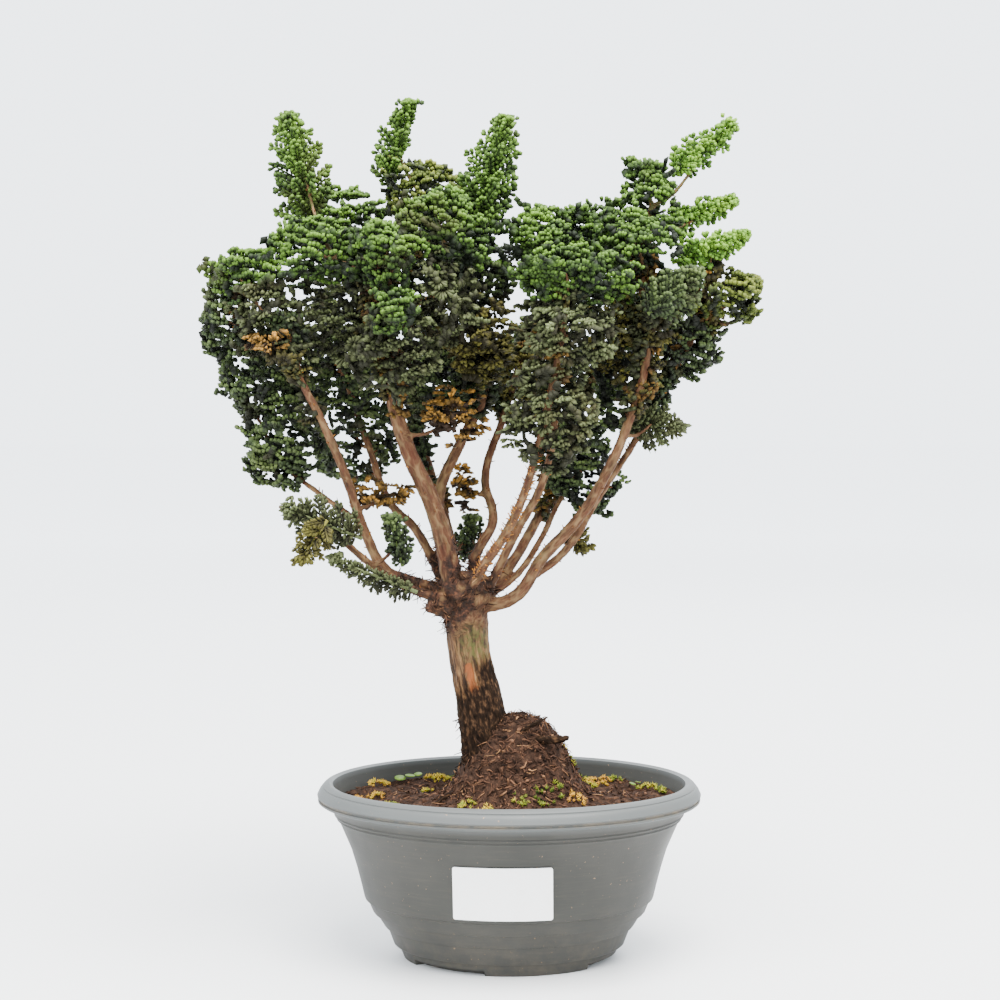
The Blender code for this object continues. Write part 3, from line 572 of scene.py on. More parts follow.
def fibre_unit(seed, bends=3):
    """A thin three-sided strand along X, one unit long, that bends as it goes."""
    draw = random.Random(seed)
    bm = toned_mesh()
    rings = []
    spot, way = Vector((0.0, 0.0, 0.0)), Vector((1.0, 0.0, 0.0))
    for step in range(bends + 1):
        thick = 1.0 - 0.5 * step / bends
        ring = bmesh.ops.create_circle(bm, segments=3, radius=thick)["verts"]
        turn = Matrix.Rotation(math.pi / 2, 4, "Y")
        bmesh.ops.transform(bm, matrix=turn, verts=ring)
        for vertex in ring:
            vertex.co.x = spot.x
            vertex.co.y += spot.y * 10
            vertex.co.z += spot.z * 10
        rings.append(ring)
        way = (way + Vector((0.0, draw.uniform(-0.7, 0.7), draw.uniform(-0.35, 0.35)))).normalized()
        spot = spot + way / bends
    edges = list(bm.edges)
    for first, second in zip(rings, rings[1:]):
        pair = [edge for edge in edges if all(v in first for v in edge.verts)]
        pair += [edge for edge in edges if all(v in second for v in edge.verts)]
        bmesh.ops.bridge_loops(bm, edges=pair)
    bmesh.ops.holes_fill(bm, edges=bm.edges)
    bmesh.ops.recalc_face_normals(bm, faces=bm.faces)
    return shaped_unit(bm)


def spot_on_soil(draw, crowd):
    """A spot on the soil, more often on the mound than by the wall."""
    while True:
        angle, far = draw.uniform(0, math.tau), math.sqrt(draw.random())
        x, y = far * LITTER_REACH * math.cos(angle), far * LITTER_REACH * OVAL * math.sin(angle)
        if draw.random() < crowd:
            angle, far = draw.uniform(0, math.tau), math.sqrt(draw.random())
            x = MOUND_TOP[0] + far * MOUND_LITTER[0] * math.cos(angle)
            y = MOUND_TOP[1] + far * MOUND_LITTER[1] * math.sin(angle)
        if math.hypot(x, y / OVAL) < LITTER_REACH + 0.5:
            level = soil_height(x, y)
            slope = Vector((soil_height(x - 1, y) - soil_height(x + 1, y),
                            soil_height(x, y - 1) - soil_height(x, y + 1), 2.0)).normalized()
            return Vector((x, y, crumbled(x, y, level))), slope


def litter():
    finish = Finish("soil_litter", 0.9, 0.06)
    tone = finish.attribute("tone")
    grain = finish.noise(700.0, 3.0)
    shade = finish.maths("ADD", tone, finish.between(grain, 0.3, 0.7, -0.12, 0.12))
    finish.colour(finish.ramp(shade, *LITTER_COLOURS))
    finish.bump(grain, 0.5, 0.4)
    return finish.material


draw = random.Random(5)
litter_finish = litter()


def strand_shape(length, width, thickness=None):
    """A strand's drawn length and width, and its thickness, which may be the width again."""
    if thickness is None:
        thick = draw.uniform(*width)
        return Matrix.Diagonal((draw.uniform(*length), thick, thick, 1.0))
    return Matrix.Diagonal((draw.uniform(*length), draw.uniform(*width), draw.uniform(*thickness), 1.0))


def strew(name, units, count, lift, sides, tones):
    """Strands lying every way on the soil, with their tips lifted a little."""
    bm = toned_mesh()
    for _ in range(count):
        spot, slope = spot_on_soil(draw, STRAND_CROWD)
        along = Vector((draw.uniform(-1, 1), draw.uniform(-1, 1), 0.0))
        along = (along - slope * along.dot(slope)).normalized() + slope * draw.uniform(*lift)
        place = placed(spot + slope * 0.2, facing(along, slope), strand_shape(*sides))
        place_unit(bm, draw.choice(units), place, draw.betavariate(*tones))
    finished(bm, name, litter_finish, "soil", "soil")


bm = toned_mesh()
crumb_units = [crumb_unit(seed) for seed in range(4)]
for _ in range(CRUMB_COUNT):
    spot, slope = spot_on_soil(draw, CRUMB_CROWD)
    size = draw.uniform(0.4, 1.1) * draw.choice((1.0, 1.0, 1.6))
    turn = facing(Vector((draw.uniform(-1, 1), draw.uniform(-1, 1), 0.1)), slope)
    shape = Matrix.Diagonal((size * draw.uniform(1.0, 1.8), size, size * 0.75, 1.0))
    place_unit(bm, draw.choice(crumb_units), placed(spot, turn, shape), draw.betavariate(2.0, 3.2))
finished(bm, "soil_crumbs", litter_finish, "soil", "soil")
shred_units = [fibre_unit(seed, 2) for seed in range(8, 16)]
strew("soil_shreds", shred_units, SHRED_COUNT, (-0.25, 0.45),
      ((2.0, 5.0), (0.45, 0.85), (0.22, 0.4)), (1.8, 2.4))
fibre_units = [fibre_unit(seed) for seed in range(8)]
strew("soil_fibres", fibre_units, FIBRE_COUNT, (-0.1, 0.3), ((3.0, 8.5), (0.14, 0.32)), (2.2, 2.2))

# Moss and weeds: small cushions of moss, some green and some dried to ochre, and a few round
# seed leaves. They have sown themselves on the damp soil.
MOSS = (                    # place, reach, and how ochre it has dried
    (-68, 30, 8.0, 0.8), (-66, 4, 4.0, 0.9), (-41, 20, 3.2, 0.5), (-36, 42, 7.5, 0.65),
    (-28, 48, 4.5, 0.1), (-20, -29, 4.5, 0.55), (-12, -33, 3.0, 0.7), (5, -31, 3.6, 0.35),
    (17, -27, 4.2, 0.15), (24, -23, 3.5, 0.3), (33, -22, 4.2, 0.95), (34, 46, 7.0, 0.1),
    (38, 38, 6.5, 0.75), (40, 28, 5.0, 0.5), (48, 35, 5.5, 0.95), (55, 40, 3.5, 0.2),
    (70, 21, 4.0, 0.5), (76, 12, 3.5, 0.3), (-58, -24, 3.5, 0.4), (60, -28, 4.0, 0.6),
    (10, 50, 5.0, 0.3), (-10, 54, 5.0, 0.6), (-75, -5, 3.0, 0.85), (30, 2, 3.5, 0.4),
)
WEED_LEAVES = ((-56, 38, 2.9), (-51, 40, 2.6), (-47, 43, 2.2), (63, 24, 1.8), (66, 27, 1.5))
WEED_LIFT = 2.6             # height of the seed leaves over the soil
WEED_SIDES = 14
WEED_THICKNESS = 0.3
WEED_DARK = from_screen(62, 88, 20)
WEED_LIGHT = from_screen(88, 110, 28)
MOSS_SHOOT = 2.6            # height of a shoot
MOSS_REACH = 81.0           # no moss grows further out, against the wall
MOSS_SHOOTS = 0.62          # shoots for each square millimetre of reach
MOSS_SWELL = 0.28           # height of a cushion's middle over its reach
MOSS_SHADE = from_screen(22, 22, 8)
MOSS_COLOURS = ((0.0, from_screen(46, 62, 20)), (0.4, from_screen(108, 116, 34)),
                (0.7, from_screen(176, 150, 44)), (1.0, from_screen(170, 120, 44)))


def clamped(value):
    return max(0.0, min(1.0, value))


def moss_unit(seed):
    """A shoot with pointed leaflets standing out all round, one unit tall."""
    draw = random.Random(seed)
    bm = toned_mesh()
    tip = bm.verts.layers.float["tip"]
    for number in range(8):
        made = bmesh.ops.create_cone(bm, cap_ends=True, segments=3, radius1=0.16, radius2=0.0,
                                     depth=0.75)["verts"]
        lean = draw.uniform(0.25, 1.15) if number else 0.0
        turn = Matrix.Rotation(number * 2.4, 4, "Z") @ Matrix.Rotation(lean, 4, "Y")
        bmesh.ops.transform(bm, matrix=turn @ Matrix.Translation((0, 0, 0.375)), verts=made)
        bmesh.ops.translate(bm, vec=(0.0, 0.0, 0.05 * number), verts=made)
        for vertex in made:
            vertex[tip] = min(1.0, vertex.co.length)
    return shaped_unit(bm)


def moss():
    finish = Finish("moss", 0.85, 0.1)
    shade = finish.maths("ADD", finish.attribute("tone"),
                         finish.between(finish.noise(420.0, 2.0), 0.3, 0.7, -0.2, 0.2))
    base = finish.ramp(shade, *MOSS_COLOURS)
    inner = finish.between(finish.attribute("tip"), 0.0, 0.8, 0.65, 0.0)
    finish.colour(finish.mix(inner, base, MOSS_SHADE))
    return finish.material


bm = toned_mesh()
moss_units = [moss_unit(seed) for seed in range(4)]
for x, y, reach, ochre in MOSS:
    for _ in range(int(reach * reach * MOSS_SHOOTS) + 5):
        angle, far = draw.uniform(0, math.tau), reach * math.sqrt(draw.random())
        px, py = x + far * math.cos(angle), y + far * math.sin(angle)
        if math.hypot(px, py / OVAL) > MOSS_REACH:
            continue
        swell = MOSS_SWELL * reach * (1.0 - (far / reach) ** 2)
        spot = Vector((px, py, soil_height(px, py) + swell - 0.4))
        out = Vector((math.cos(angle) * far / reach, math.sin(angle) * far / reach, 1.3))
        size = MOSS_SHOOT * draw.uniform(0.7, 1.15)
        turn = out.to_track_quat("Z", "Y").to_matrix().to_4x4()
        unit = draw.choice(moss_units)
        tone = clamped(ochre + draw.uniform(-0.2, 0.2))
        place_unit(bm, unit, placed(spot, turn, Matrix.Scale(size, 4)), tone)
finished(bm, "moss_tufts", moss(), "soil", "soil")

bm = toned_mesh()
for x, y, size in WEED_LEAVES:
    made = bmesh.ops.create_circle(bm, cap_ends=True, cap_tris=True, segments=WEED_SIDES,
                                   radius=size)["verts"]
    for vertex in made:
        vertex.co.z = 0.045 * (vertex.co.x ** 2 + vertex.co.y ** 2)
    lean = Matrix.Rotation(draw.uniform(-0.4, 0.4), 4, "X")
    lean = lean @ Matrix.Rotation(draw.uniform(-0.3, 0.3), 4, "Y")
    spot = Vector((x, y, soil_height(x, y) + WEED_LIFT))
    bmesh.ops.transform(bm, matrix=placed(spot, lean, Matrix.Identity(4)), verts=made)
for face in bm.faces:
    face.smooth = True
weed_finish = Finish("weed_leaf", 0.5, 0.15)
weed_finish.colour(weed_finish.mix(weed_finish.between(weed_finish.noise(300.0), 0.3, 0.7),
                                   WEED_DARK, WEED_LIGHT))
weeds = finished(bm, "weed_leaves", weed_finish.material, "soil", "soil")
blade = weeds.modifiers.new("blade", "SOLIDIFY")
blade.thickness = WEED_THICKNESS * MM
applied(weeds)

# Wood: one grown body. A short leaning trunk with flaking bark comes out of the heaped soil
# and parts at a swollen fork into a clump of long, thin, reddish stems with small spurs.
TRUNK = (                   # points of its middle line, each with the diameter there
    (-8, 0, 56, 20), (-9, 0, 74, 27), (-9, 0, 87, 30), (-10, 0, 96, 27.5),
    (-11, 0, 105, 25.5), (-13, 0, 117, 24), (-15, 0, 129, 23), (-18, 0, 142, 21),
    (-20, 0, 154, 20.4), (-21, 0, 166, 21.6), (-23, 0, 178, 23),
)
FORK = ((-21, -1, 181), (15, 12, 11))   # middle and radii of the swollen fork
FORK_SWELL = 0.16           # how uneven it is
FORK_REACH = 30.0           # the bark is lumpy and old out to here from its middle
CUT_STUB = ((-26, -6, 171), (-40, -14, 176))
STUB_SIZES = (7.0, 6.0)
STEMS = {                   # diameters at foot and tip, and the points passed
    "far_left": (6.5, 3.2, ((-32, 0, 182), (-50, -6, 188), (-60, -10, 193), (-70, -14, 212),
        (-79, -20, 240), (-90, -26, 267), (-100, -31, 289), (-104, -32, 312))),
    "left_main": (11, 4.0, ((-27, -4, 178), (-31, -7, 203), (-38, -10, 227), (-49, -15, 252),
        (-56, -19, 276), (-61, -24, 309), (-70, -28, 333), (-84, -24, 345))),
    "left_inner": (6.5, 3.2, ((-31, 4, 190), (-35, 6, 227), (-23, 10, 257), (-13, 14, 278),
        (-15, 16, 310), (-28, 20, 345), (-42, 24, 378))),
    "middle": (6, 3.0, ((-20, 4, 182), (-16, 7, 200), (-8, 14, 216), (-12, 22, 236), (-3, 34, 266),
        (8, 46, 300), (30, 62, 340))),
    "front_middle": (5.6, 2.8, ((-22, -8, 176), (-14, -22, 194), (0, -32, 216), (10, -43, 242),
        (18, -50, 275), (24, -48, 305), (28, -50, 330))),
    "right_inner": (5, 2.8, ((-12, -2, 179), (2, -8, 209), (17, -15, 239), (22, -18, 270),
        (20, -16, 305), (19, -14, 350))),
    "right_main": (7, 3.4, ((-14, -3, 174), (3, -7, 180), (16, -10, 199), (34, -13, 219),
        (45, -16, 237), (56, -20, 262), (66, -20, 298), (64, -14, 330), (70, 4, 372))),
    "right_outer": (4.6, 2.8, ((9, -6, 188), (27, 1, 201), (45, 8, 229), (62, 15, 254),
        (78, 12, 284), (98, -2, 320))),
    "low_right": (4.2, 2.4, ((-14, 2, 178), (2, 11, 187), (15, 21, 204), (26, 30, 225),
        (44, 40, 250))),
    "low_left": (5.2, 2.4, ((-29, -6, 178), (-51, -16, 186), (-67, -26, 198), (-88, -40, 217),
        (-108, -50, 227))),
    "left_back": (5.2, 2.6, ((-32, 4, 184), (-46, 9, 211), (-60, 19, 225), (-70, 27, 250),
        (-84, 40, 287), (-96, 56, 310))),
    "left_side": (3.2, 2.2, ((-71, -15, 216), (-92, -7, 230), (-112, -2, 246), (-124, 2, 268))),
    "back_left": (6, 2.8, ((-24, 6, 178), (-32, 30, 214), (-46, 56, 258), (-50, 74, 292),
        (-60, 72, 330), (-80, 68, 356))),
    "back_top": (3.6, 2.4, ((-50, 74, 296), (-40, 74, 320), (-29, 71, 344))),
    "back_right": (6, 2.8, ((-12, 4, 176), (8, 26, 204), (24, 50, 236), (34, 62, 272),
        (56, 60, 300), (75, 59, 318))),
    "back_low": (3.6, 2.4, ((23, 49, 234), (20, 68, 252), (17, 83, 273))),
}
ROOTS = (
    (5.0, 3.2, ((-9, 0, 98), (12, -12, 109), (24, -17, 111), (29, -19, 112))),
    (3.2, 1.8, ((-6, 0, 104), (10, -16, 117), (19, -22, 123))),
    (4.6, 2.6, ((-9, 0, 84), (-26, -10, 84), (-38, -16, 78))),
)
WOOD_CELL = 0.94            # side of the cells that the overlapping limbs are fused on
LINE_STEP = 1.5             # spacing of the points that the grain follows
BARE_HEIGHT = 196.0         # no twigs leave the clump below this
BARE_SPAN = (-50.0, 12.0)
TWIG_THICKEST = 2.8
TWIG_SAG = 0.12
CLIMB_COST = 0.8            # how much a twig avoids growing down from its stem
TRUNK_ALGAE = (Vector((-15.0, -11.0, 157.0)), 13.0)
BARE_STRIP = (Vector((-20.0, -10.5, 145.5)), Vector((-17.4, -11.5, 133.5)), 1.9)
CROTCH = (Vector((-31.0, -3.0, 189.0)), 30.0)
CROTCH_LIT = (184.0, 14.0)  # the litter colour, partly painted shade, thins on the lit front from this height up, over this rise
GREEN_WOOD = (338.0, 356.0) # heights over which the stems turn from brown to green
DAMP_FULL = 132.0           # the trunk is wet and dark up to here
DAMP_NONE = 152.0           # and dry above this
FOOT_TOP = 118.0            # rotten fibres hang below this
OLD_BARK = ((0.33, from_screen(18, 11, 6)), (0.43, from_screen(54, 36, 20)),
            (0.53, from_screen(82, 56, 32)), (0.68, from_screen(118, 88, 54)))
YOUNG_BARK = ((0.28, from_screen(38, 22, 13)), (0.45, from_screen(66, 42, 25)),
              (0.60, from_screen(86, 58, 36)), (0.78, from_screen(112, 82, 54)))
ROT = ((0.36, from_screen(10, 7, 5)), (0.52, from_screen(26, 18, 13)),
       (0.70, from_screen(74, 53, 36)))
# Dark litter in the crotch of the fork, whose colour also stands in for the crotch's painted shade.
DEBRIS_AND_SHADE = ((0.40, from_screen(14, 7, 4)), (0.55, from_screen(44, 25, 16)),
          (0.70, from_screen(84, 50, 30)))
CRACK = from_screen(34, 21, 12)
RED_PATCH = from_screen(64, 28, 16)
TAN_PLATE = from_screen(92, 76, 46)
LEAF_SCAR = from_screen(64, 32, 20)
SCAR_RIM = from_screen(120, 96, 64)
ALGAE = from_screen(64, 64, 28)
PEELED_WOOD = from_screen(108, 58, 26)
# Painted shade: near black for the depth of the bark's sunken fissures.
HOLLOW_SHADE = from_screen(16, 10, 7)

wood_line = []              # points along every limb: place, direction, diameter, distance, youth


def limb_curve(points, sizes):
    """A limb as a smooth curve object through its points."""
    curve = bpy.data.curves.new("limb", "CURVE")
    curve.dimensions = "3D"
    spline = curve.splines.new("BEZIER")
    spline.bezier_points.add(len(points) - 1)
    for spot, place, size in zip(spline.bezier_points, points, sizes):
        spot.co = Vector(place) * MM
        spot.handle_left_type = spot.handle_right_type = "AUTO"
        spot.radius = size
    curve.resolution_u = 8
    holder = bpy.data.objects.new("limb", curve)
    bpy.context.scene.collection.objects.link(holder)
    return holder


def evaluated_mesh(holder):
    bpy.context.view_layer.update()
    graph = bpy.context.evaluated_depsgraph_get()
    return bpy.data.meshes.new_from_object(holder.evaluated_get(graph))


def add_limb(bm, points, sizes, sides, youth):
    """Add a limb's tube to the mesh, and its middle line to the grain's points."""
    holder = limb_curve(points, sizes)
    middle = [vertex.co / MM for vertex in evaluated_mesh(holder).vertices]
    length = sum((b - a).length for a, b in zip(middle, middle[1:]))
    distance = 0.0
    for first, second in zip(middle, middle[1:]):
        way = second - first
        for step in range(max(1, round(way.length / LINE_STEP))):
            share = step / max(1, round(way.length / LINE_STEP))
            far = distance + share * way.length
            size = sizes[0] + (sizes[-1] - sizes[0]) * far / length
            wood_line.append((first + way * share, way.normalized(), size, far, youth))
        distance += way.length
    holder.data.bevel_depth = 0.5 * MM
    holder.data.bevel_resolution = sides // 2 - 2
    holder.data.use_fill_caps = True
    start = len(bm.verts)
    bm.from_mesh(evaluated_mesh(holder))
    bm.verts.ensure_lookup_table()
    bmesh.ops.remove_doubles(bm, verts=bm.verts[start:], dist=0.01 * MM)
    curve = holder.data
    bpy.data.objects.remove(holder, do_unlink=True)
    bpy.data.curves.remove(curve)


def even_taper(first, last, count):
    return [first + (last - first) * number / (count - 1) for number in range(count)]


def twig_to(middle, anchors):
    """A twig from the nearest stem that isn't above a tuft, sagging on its way to the middle."""

    def cost(row):
        return (middle - row[0]).length + CLIMB_COST * max(0.0, row[0].z - middle.z + 5.0)

    spot, _, size, _, _ = min(anchors, key=cost)
    span = middle - spot
    thick = min(TWIG_THICKEST, 0.85 * size)
    bend = spot + span * 0.4 - Vector((0.0, 0.0, TWIG_SAG * span.length))
    return (spot, bend, middle), (thick, 0.9 * thick, 0.6 * thick)


bm = bmesh.new()
add_limb(bm, [(x, y, z) for x, y, z, _ in TRUNK], [size for *_, size in TRUNK], 24, 0.0)
add_limb(bm, CUT_STUB, STUB_SIZES, 12, 0.4)
for foot_size, tip_size, points in STEMS.values():
    add_limb(bm, points, even_taper(foot_size, tip_size, len(points)), 12, 1.0)
anchors = [row for row in wood_line if row[4] == 1.0
           and (row[0].z > BARE_HEIGHT or not BARE_SPAN[0] <= row[0].x <= BARE_SPAN[1])]
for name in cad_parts:
    if name.startswith("foliage_"):
        low, high = (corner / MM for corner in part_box(name))
        points, thicknesses = twig_to((low + high) / 2, anchors)
        if (points[2] - points[0]).length > 4.0:
            add_limb(bm, points, thicknesses, 6, 1.0)
for foot_size, tip_size, points in ROOTS:
    add_limb(bm, points, even_taper(foot_size, tip_size, len(points)), 10, 0.2)
fork = bmesh.ops.create_icosphere(bm, subdivisions=4, radius=1.0)["verts"]
for vertex in fork:
    swell = 1.0 + FORK_SWELL * noise.noise(vertex.co * 1.6)
    vertex.co = Vector([c + v * r * swell for c, v, r in zip(FORK[0], vertex.co, FORK[1])]) * MM
bmesh.ops.recalc_face_normals(bm, faces=bm.faces)


def wood_finish():
    finish = Finish("bark", 0.85)
    grain = finish.attribute("grain", "Vector")
    fibre = finish.noise(0.55, 5.0, 0.65, finish.stretched(grain, (1.0, 1.0, 0.20)))
    cracks = finish.noise(0.42, 3.0, 0.6, finish.stretched(grain, (1.0, 1.0, 0.30)))
    plates = finish.noise(0.22, 3.0, 0.6, finish.stretched(grain, (1.0, 1.0, 0.22)))
    patches = finish.noise(38.0, 4.0, 0.6)
    old = finish.ramp(fibre, *OLD_BARK)
    old = finish.mix(finish.between(cracks, 0.40, 0.46, 0.8, 0.0), old, CRACK)
    young = finish.ramp(fibre, *YOUNG_BARK)
    scars = finish.cells(0.34, finish.stretched(grain, (1.0, 1.0, 0.55)))
    for source, limits, colour in (
            (patches, (0.50, 0.66, 0.0, 0.55), RED_PATCH), (plates, (0.55, 0.70, 0.0, 0.5), TAN_PLATE),
            (scars, (0.12, 0.30, 0.75, 0.0), LEAF_SCAR), (scars, (0.55, 0.80, 0.0, 0.45), SCAR_RIM)):
        young = finish.mix(finish.between(source, *limits), young, colour)
    base = finish.mix(finish.attribute("youth"), old, young)
    film = finish.between(finish.noise(420.0, 4.0), 0.40, 0.60, 0.05, 0.8)
    base = finish.mix(finish.maths("MULTIPLY", finish.attribute("algae"), film), base, ALGAE)
    strips = finish.between(fibre, 0.35, 0.6, 0.7, 1.0)
    base = finish.mix(finish.maths("MULTIPLY", finish.attribute("bare"), strips), base, PEELED_WOOD)
    wet = finish.maths("ADD", finish.attribute("damp"), finish.between(patches, 0.3, 0.7, -0.15, 0.15))
    wet = finish.maths("ADD", wet, finish.between(fibre, 0.35, 0.7, 0.14, -0.22))
    rotten = finish.noise(0.75, 5.0, 0.6, finish.stretched(grain, (1.0, 1.0, 0.4)))
    base = finish.mix(finish.between(wet, 0.35, 0.75, 0.0, 0.96), base, finish.ramp(rotten, *ROT))
    # Painted shade: the sunken fissures are darkened by how deep they sink.
    painted_hollow_shade = finish.between(finish.attribute("hollow"), 0.0, 1.0, 0.0, 0.75)
    base = finish.mix(painted_hollow_shade, base, HOLLOW_SHADE)
    # Litter colour in the crotch, partly painted shade that thins on the lit front.
    caught_and_shaded = finish.between(finish.attribute("debris_and_shade"), 0.05, 0.5, 0.0, 0.92)
    base = finish.mix(caught_and_shaded, base, finish.ramp(finish.noise(430.0, 4.0, 0.65), *DEBRIS_AND_SHADE))
    finish.colour(base)
    finish.rough(finish.between(fibre, 0.3, 0.7, 0.92, 0.72))
    finish.join(finish.between(wet, 0.2, 0.7, 0.2, 0.03), finish.shader.inputs["Specular IOR Level"])
    finish.bump(fibre, 0.7, 0.9)
    finish.bump(finish.noise(1400.0, 3.0), 0.3, 0.15)
    return finish.material


bark = wood_finish()
wood = finished(bm, "trunk_and_stems", bark, "bark", "trunk_and_branches")
fusing = wood.modifiers.new("fusing", "REMESH")
fusing.mode = "VOXEL"
fusing.voxel_size = WOOD_CELL * MM
applied(wood)

line_tree = KDTree(len(wood_line))
for number, (place, *_) in enumerate(wood_line):
    line_tree.insert(place, number)
line_tree.balance()


def distance_to_run(spot, first, last):
    run = last - first
    share = clamped((spot - first).dot(run) / run.length_squared)
    return (spot - first - run * share).length


crotch_spots, foot_spots = [], []
bm = bmesh.new()
bm.from_mesh(wood.data)
bmesh.ops.smooth_vert(bm, verts=bm.verts, factor=0.5, use_axis_x=True, use_axis_y=True,
                      use_axis_z=True)
bm.normal_update()
grain_layer = bm.verts.layers.float_vector.new("grain")
layers = {name: bm.verts.layers.float.new(name)
          for name in ("youth", "algae", "bare", "damp", "hollow", "debris_and_shade")}
for vertex in bm.verts:
    spot = vertex.co / MM
    _, number, _ = line_tree.find(spot)
    middle, along, size, far, youth = wood_line[number]
    side = (Vector((0, 1, 0)) - along * along.y).normalized()
    other = along.cross(side)
    off = spot - middle
    level = far + off.dot(along)
    grain = Vector((off.dot(side), off.dot(other), level))
    near_fork = max(0.0, 1.0 - (spot - Vector(FORK[0])).length / FORK_REACH)
    old = 1.0 - youth
    fissure = noise.noise(Vector((grain.x * 0.42, grain.y * 0.42, level * 0.075 + 9.0)))
    flakes = noise.noise(Vector((grain.x * 1.1, grain.y * 1.1, level * 0.22 + 3.0)))
    sunk = min(0.0, fissure + 0.12)
    push = old * (1.5 * sunk + 0.45 * flakes) + youth * (0.30 * flakes + 0.35 * sunk)
    push += 0.9 * near_fork * noise.noise(spot * 0.33)
    bare = 1.0 if distance_to_run(spot, *BARE_STRIP[:2]) < BARE_STRIP[2] + 0.8 * flakes else 0.0
    if bare:
        push = -0.5
    if spot.z < DAMP_FULL and old > 0.5:
        push += 0.5 * noise.noise(spot * 0.5)
    push = max(push, -0.32 * size / 2)
    vertex.co += vertex.normal * push * MM
    vertex[grain_layer] = grain
    vertex[layers["youth"]] = youth * (1.0 - 0.4 * near_fork)
    facing_light = max(0.0, -vertex.normal.x * 0.7 + vertex.normal.z * 0.3)
    centre, reach = TRUNK_ALGAE
    patch = max(0.0, 1.0 - (spot - centre).length / reach)
    streak = max(0.0, noise.noise(Vector((0.0, 4.0, level * 0.03))) + 0.1)
    green = clamped((spot.z - GREEN_WOOD[0]) / (GREEN_WOOD[1] - GREEN_WOOD[0]))
    algae = min(1.0, 1.6 * patch + youth * facing_light * 1.3 * streak)
    vertex[layers["algae"]] = algae + 1.5 * green
    vertex[layers["bare"]] = bare
    lee = 0.8 * (spot.x - middle.x)
    damp = (DAMP_NONE - spot.z + 6.0 * noise.noise(spot * 0.12) + lee) / (DAMP_NONE - DAMP_FULL)
    vertex[layers["damp"]] = clamped(damp)
    # Partly painted shade: the crotch is darkened with litter colour, less where its front faces the
    # light up high.
    in_crotch = max(0.0, 1.0 - ((spot - CROTCH[0]).length / CROTCH[1]) ** 2)
    lit = clamped((spot.z - CROTCH_LIT[0]) / CROTCH_LIT[1]) * max(0.0, -vertex.normal.y)
    debris_and_shade = in_crotch * max(0.0, 0.85 + 1.8 * noise.noise(spot * 0.16) - 0.9 * lit)
    if debris_and_shade > 0.3:
        crotch_spots.append((vertex.co / MM, vertex.normal.copy()))
    if spot.z < FOOT_TOP and vertex.normal.x < 0.1 and youth < 0.1:
        foot_spots.append((vertex.co / MM, vertex.normal.copy()))
    vertex[layers["debris_and_shade"]] = min(1.0, debris_and_shade)
    # Painted shade: how deep a fissure sinks, read by the finish to darken it.
    vertex[layers["hollow"]] = min(1.0, -2.6 * sunk * old - 0.9 * sunk * youth)
for face in bm.faces:
    face.smooth = True
bm.to_mesh(wood.data)
bm.free()

# Spurs: the stubs of shed side shoots stand along the stems, browner than the bark, and the
# front stem still has its prickly old leaf bases.
SPUR_COLOURS = ((0.0, from_screen(50, 28, 16)), (0.5, from_screen(92, 56, 32)),
                (1.0, from_screen(150, 98, 40)))
SPUR_COUNT = 620
SPUR_START = 12.0           # no spurs nearer than this to a stem's foot
PRICKLE_COUNT = 220         # more on the front stem, whose old leaf bases are still on
PRICKLE_LEVELS = (188.0, 252.0)
PRICKLE_SPAN = (-16.0, 14.0)    # that stem stands between these,
PRICKLE_FRONT = -14.0       # and further forward than this
PRICKLE_GROWTH = 1.25       # their length over a spur's
PRICKLE_TONE = 0.45


def spur_unit(seed):
    """A blunt stub along X, one unit long, a little crooked."""
    draw = random.Random(seed)
    bm = toned_mesh()
    made = bmesh.ops.create_cone(bm, cap_ends=True, segments=5, radius1=0.34, radius2=0.14,
                                 depth=1.0)["verts"]
    turn = Matrix.Translation((0.35, 0, 0)) @ Matrix.Rotation(math.pi / 2, 4, "Y")
    bmesh.ops.transform(bm, matrix=turn, verts=made)
    for vertex in made:
        if vertex.co.x > 0.5:
            vertex.co.z += draw.uniform(-0.12, 0.25)
    return shaped_unit(bm)


def around(along, angle):
    """The way out of a limb at an angle round its middle line."""
    return Matrix.Rotation(angle, 3, along) @ along.orthogonal().normalized()


def spur_bark():
    finish = Finish("spur_bark", 0.85, 0.1)
    shade = finish.maths("ADD", finish.attribute("tone"),
                         finish.between(finish.noise(500.0), 0.3, 0.7, -0.15, 0.15))
    finish.colour(finish.ramp(shade, *SPUR_COLOURS))
    return finish.material


draw = random.Random(21)
young_line = [row for row in wood_line if row[4] == 1.0 and row[3] > SPUR_START]
bm = toned_mesh()
spur_units = [spur_unit(seed) for seed in range(5)]
front_line = [row for row in young_line if row[0].y < PRICKLE_FRONT
              and PRICKLE_SPAN[0] < row[0].x < PRICKLE_SPAN[1]
              and PRICKLE_LEVELS[0] < row[0].z < PRICKLE_LEVELS[1]]
for number in range(SPUR_COUNT + PRICKLE_COUNT):
    prickly = number >= SPUR_COUNT
    middle, along, size, *_ = draw.choice(front_line if prickly else young_line)
    out = around(along, draw.uniform(0, math.tau))
    way = (out + along * draw.uniform(0.2, 0.9)).normalized()
    length = draw.uniform(1.1, 2.6) * (PRICKLE_GROWTH if prickly else 1.0)
    thick = draw.uniform(0.8, 1.5)
    shape = Matrix.Diagonal((length, thick, thick, 1.0))
    spot = middle + out * (size / 2 - 0.5)
    unit = draw.choice(spur_units)
    tone = draw.betavariate(2, 2.5) + (PRICKLE_TONE if prickly else 0.0)
    place_unit(bm, unit, placed(spot, facing(way, along), shape), tone)
finished(bm, "stem_spurs", spur_bark(), "bark", "trunk_and_branches")

# Litter caught on the wood: dry shreds lie thick in the crotch of the fork, and dark rotten
# fibres hang from the foot of the trunk.
CROTCH_FIBRES = 650
FOOT_FIBRES = 110

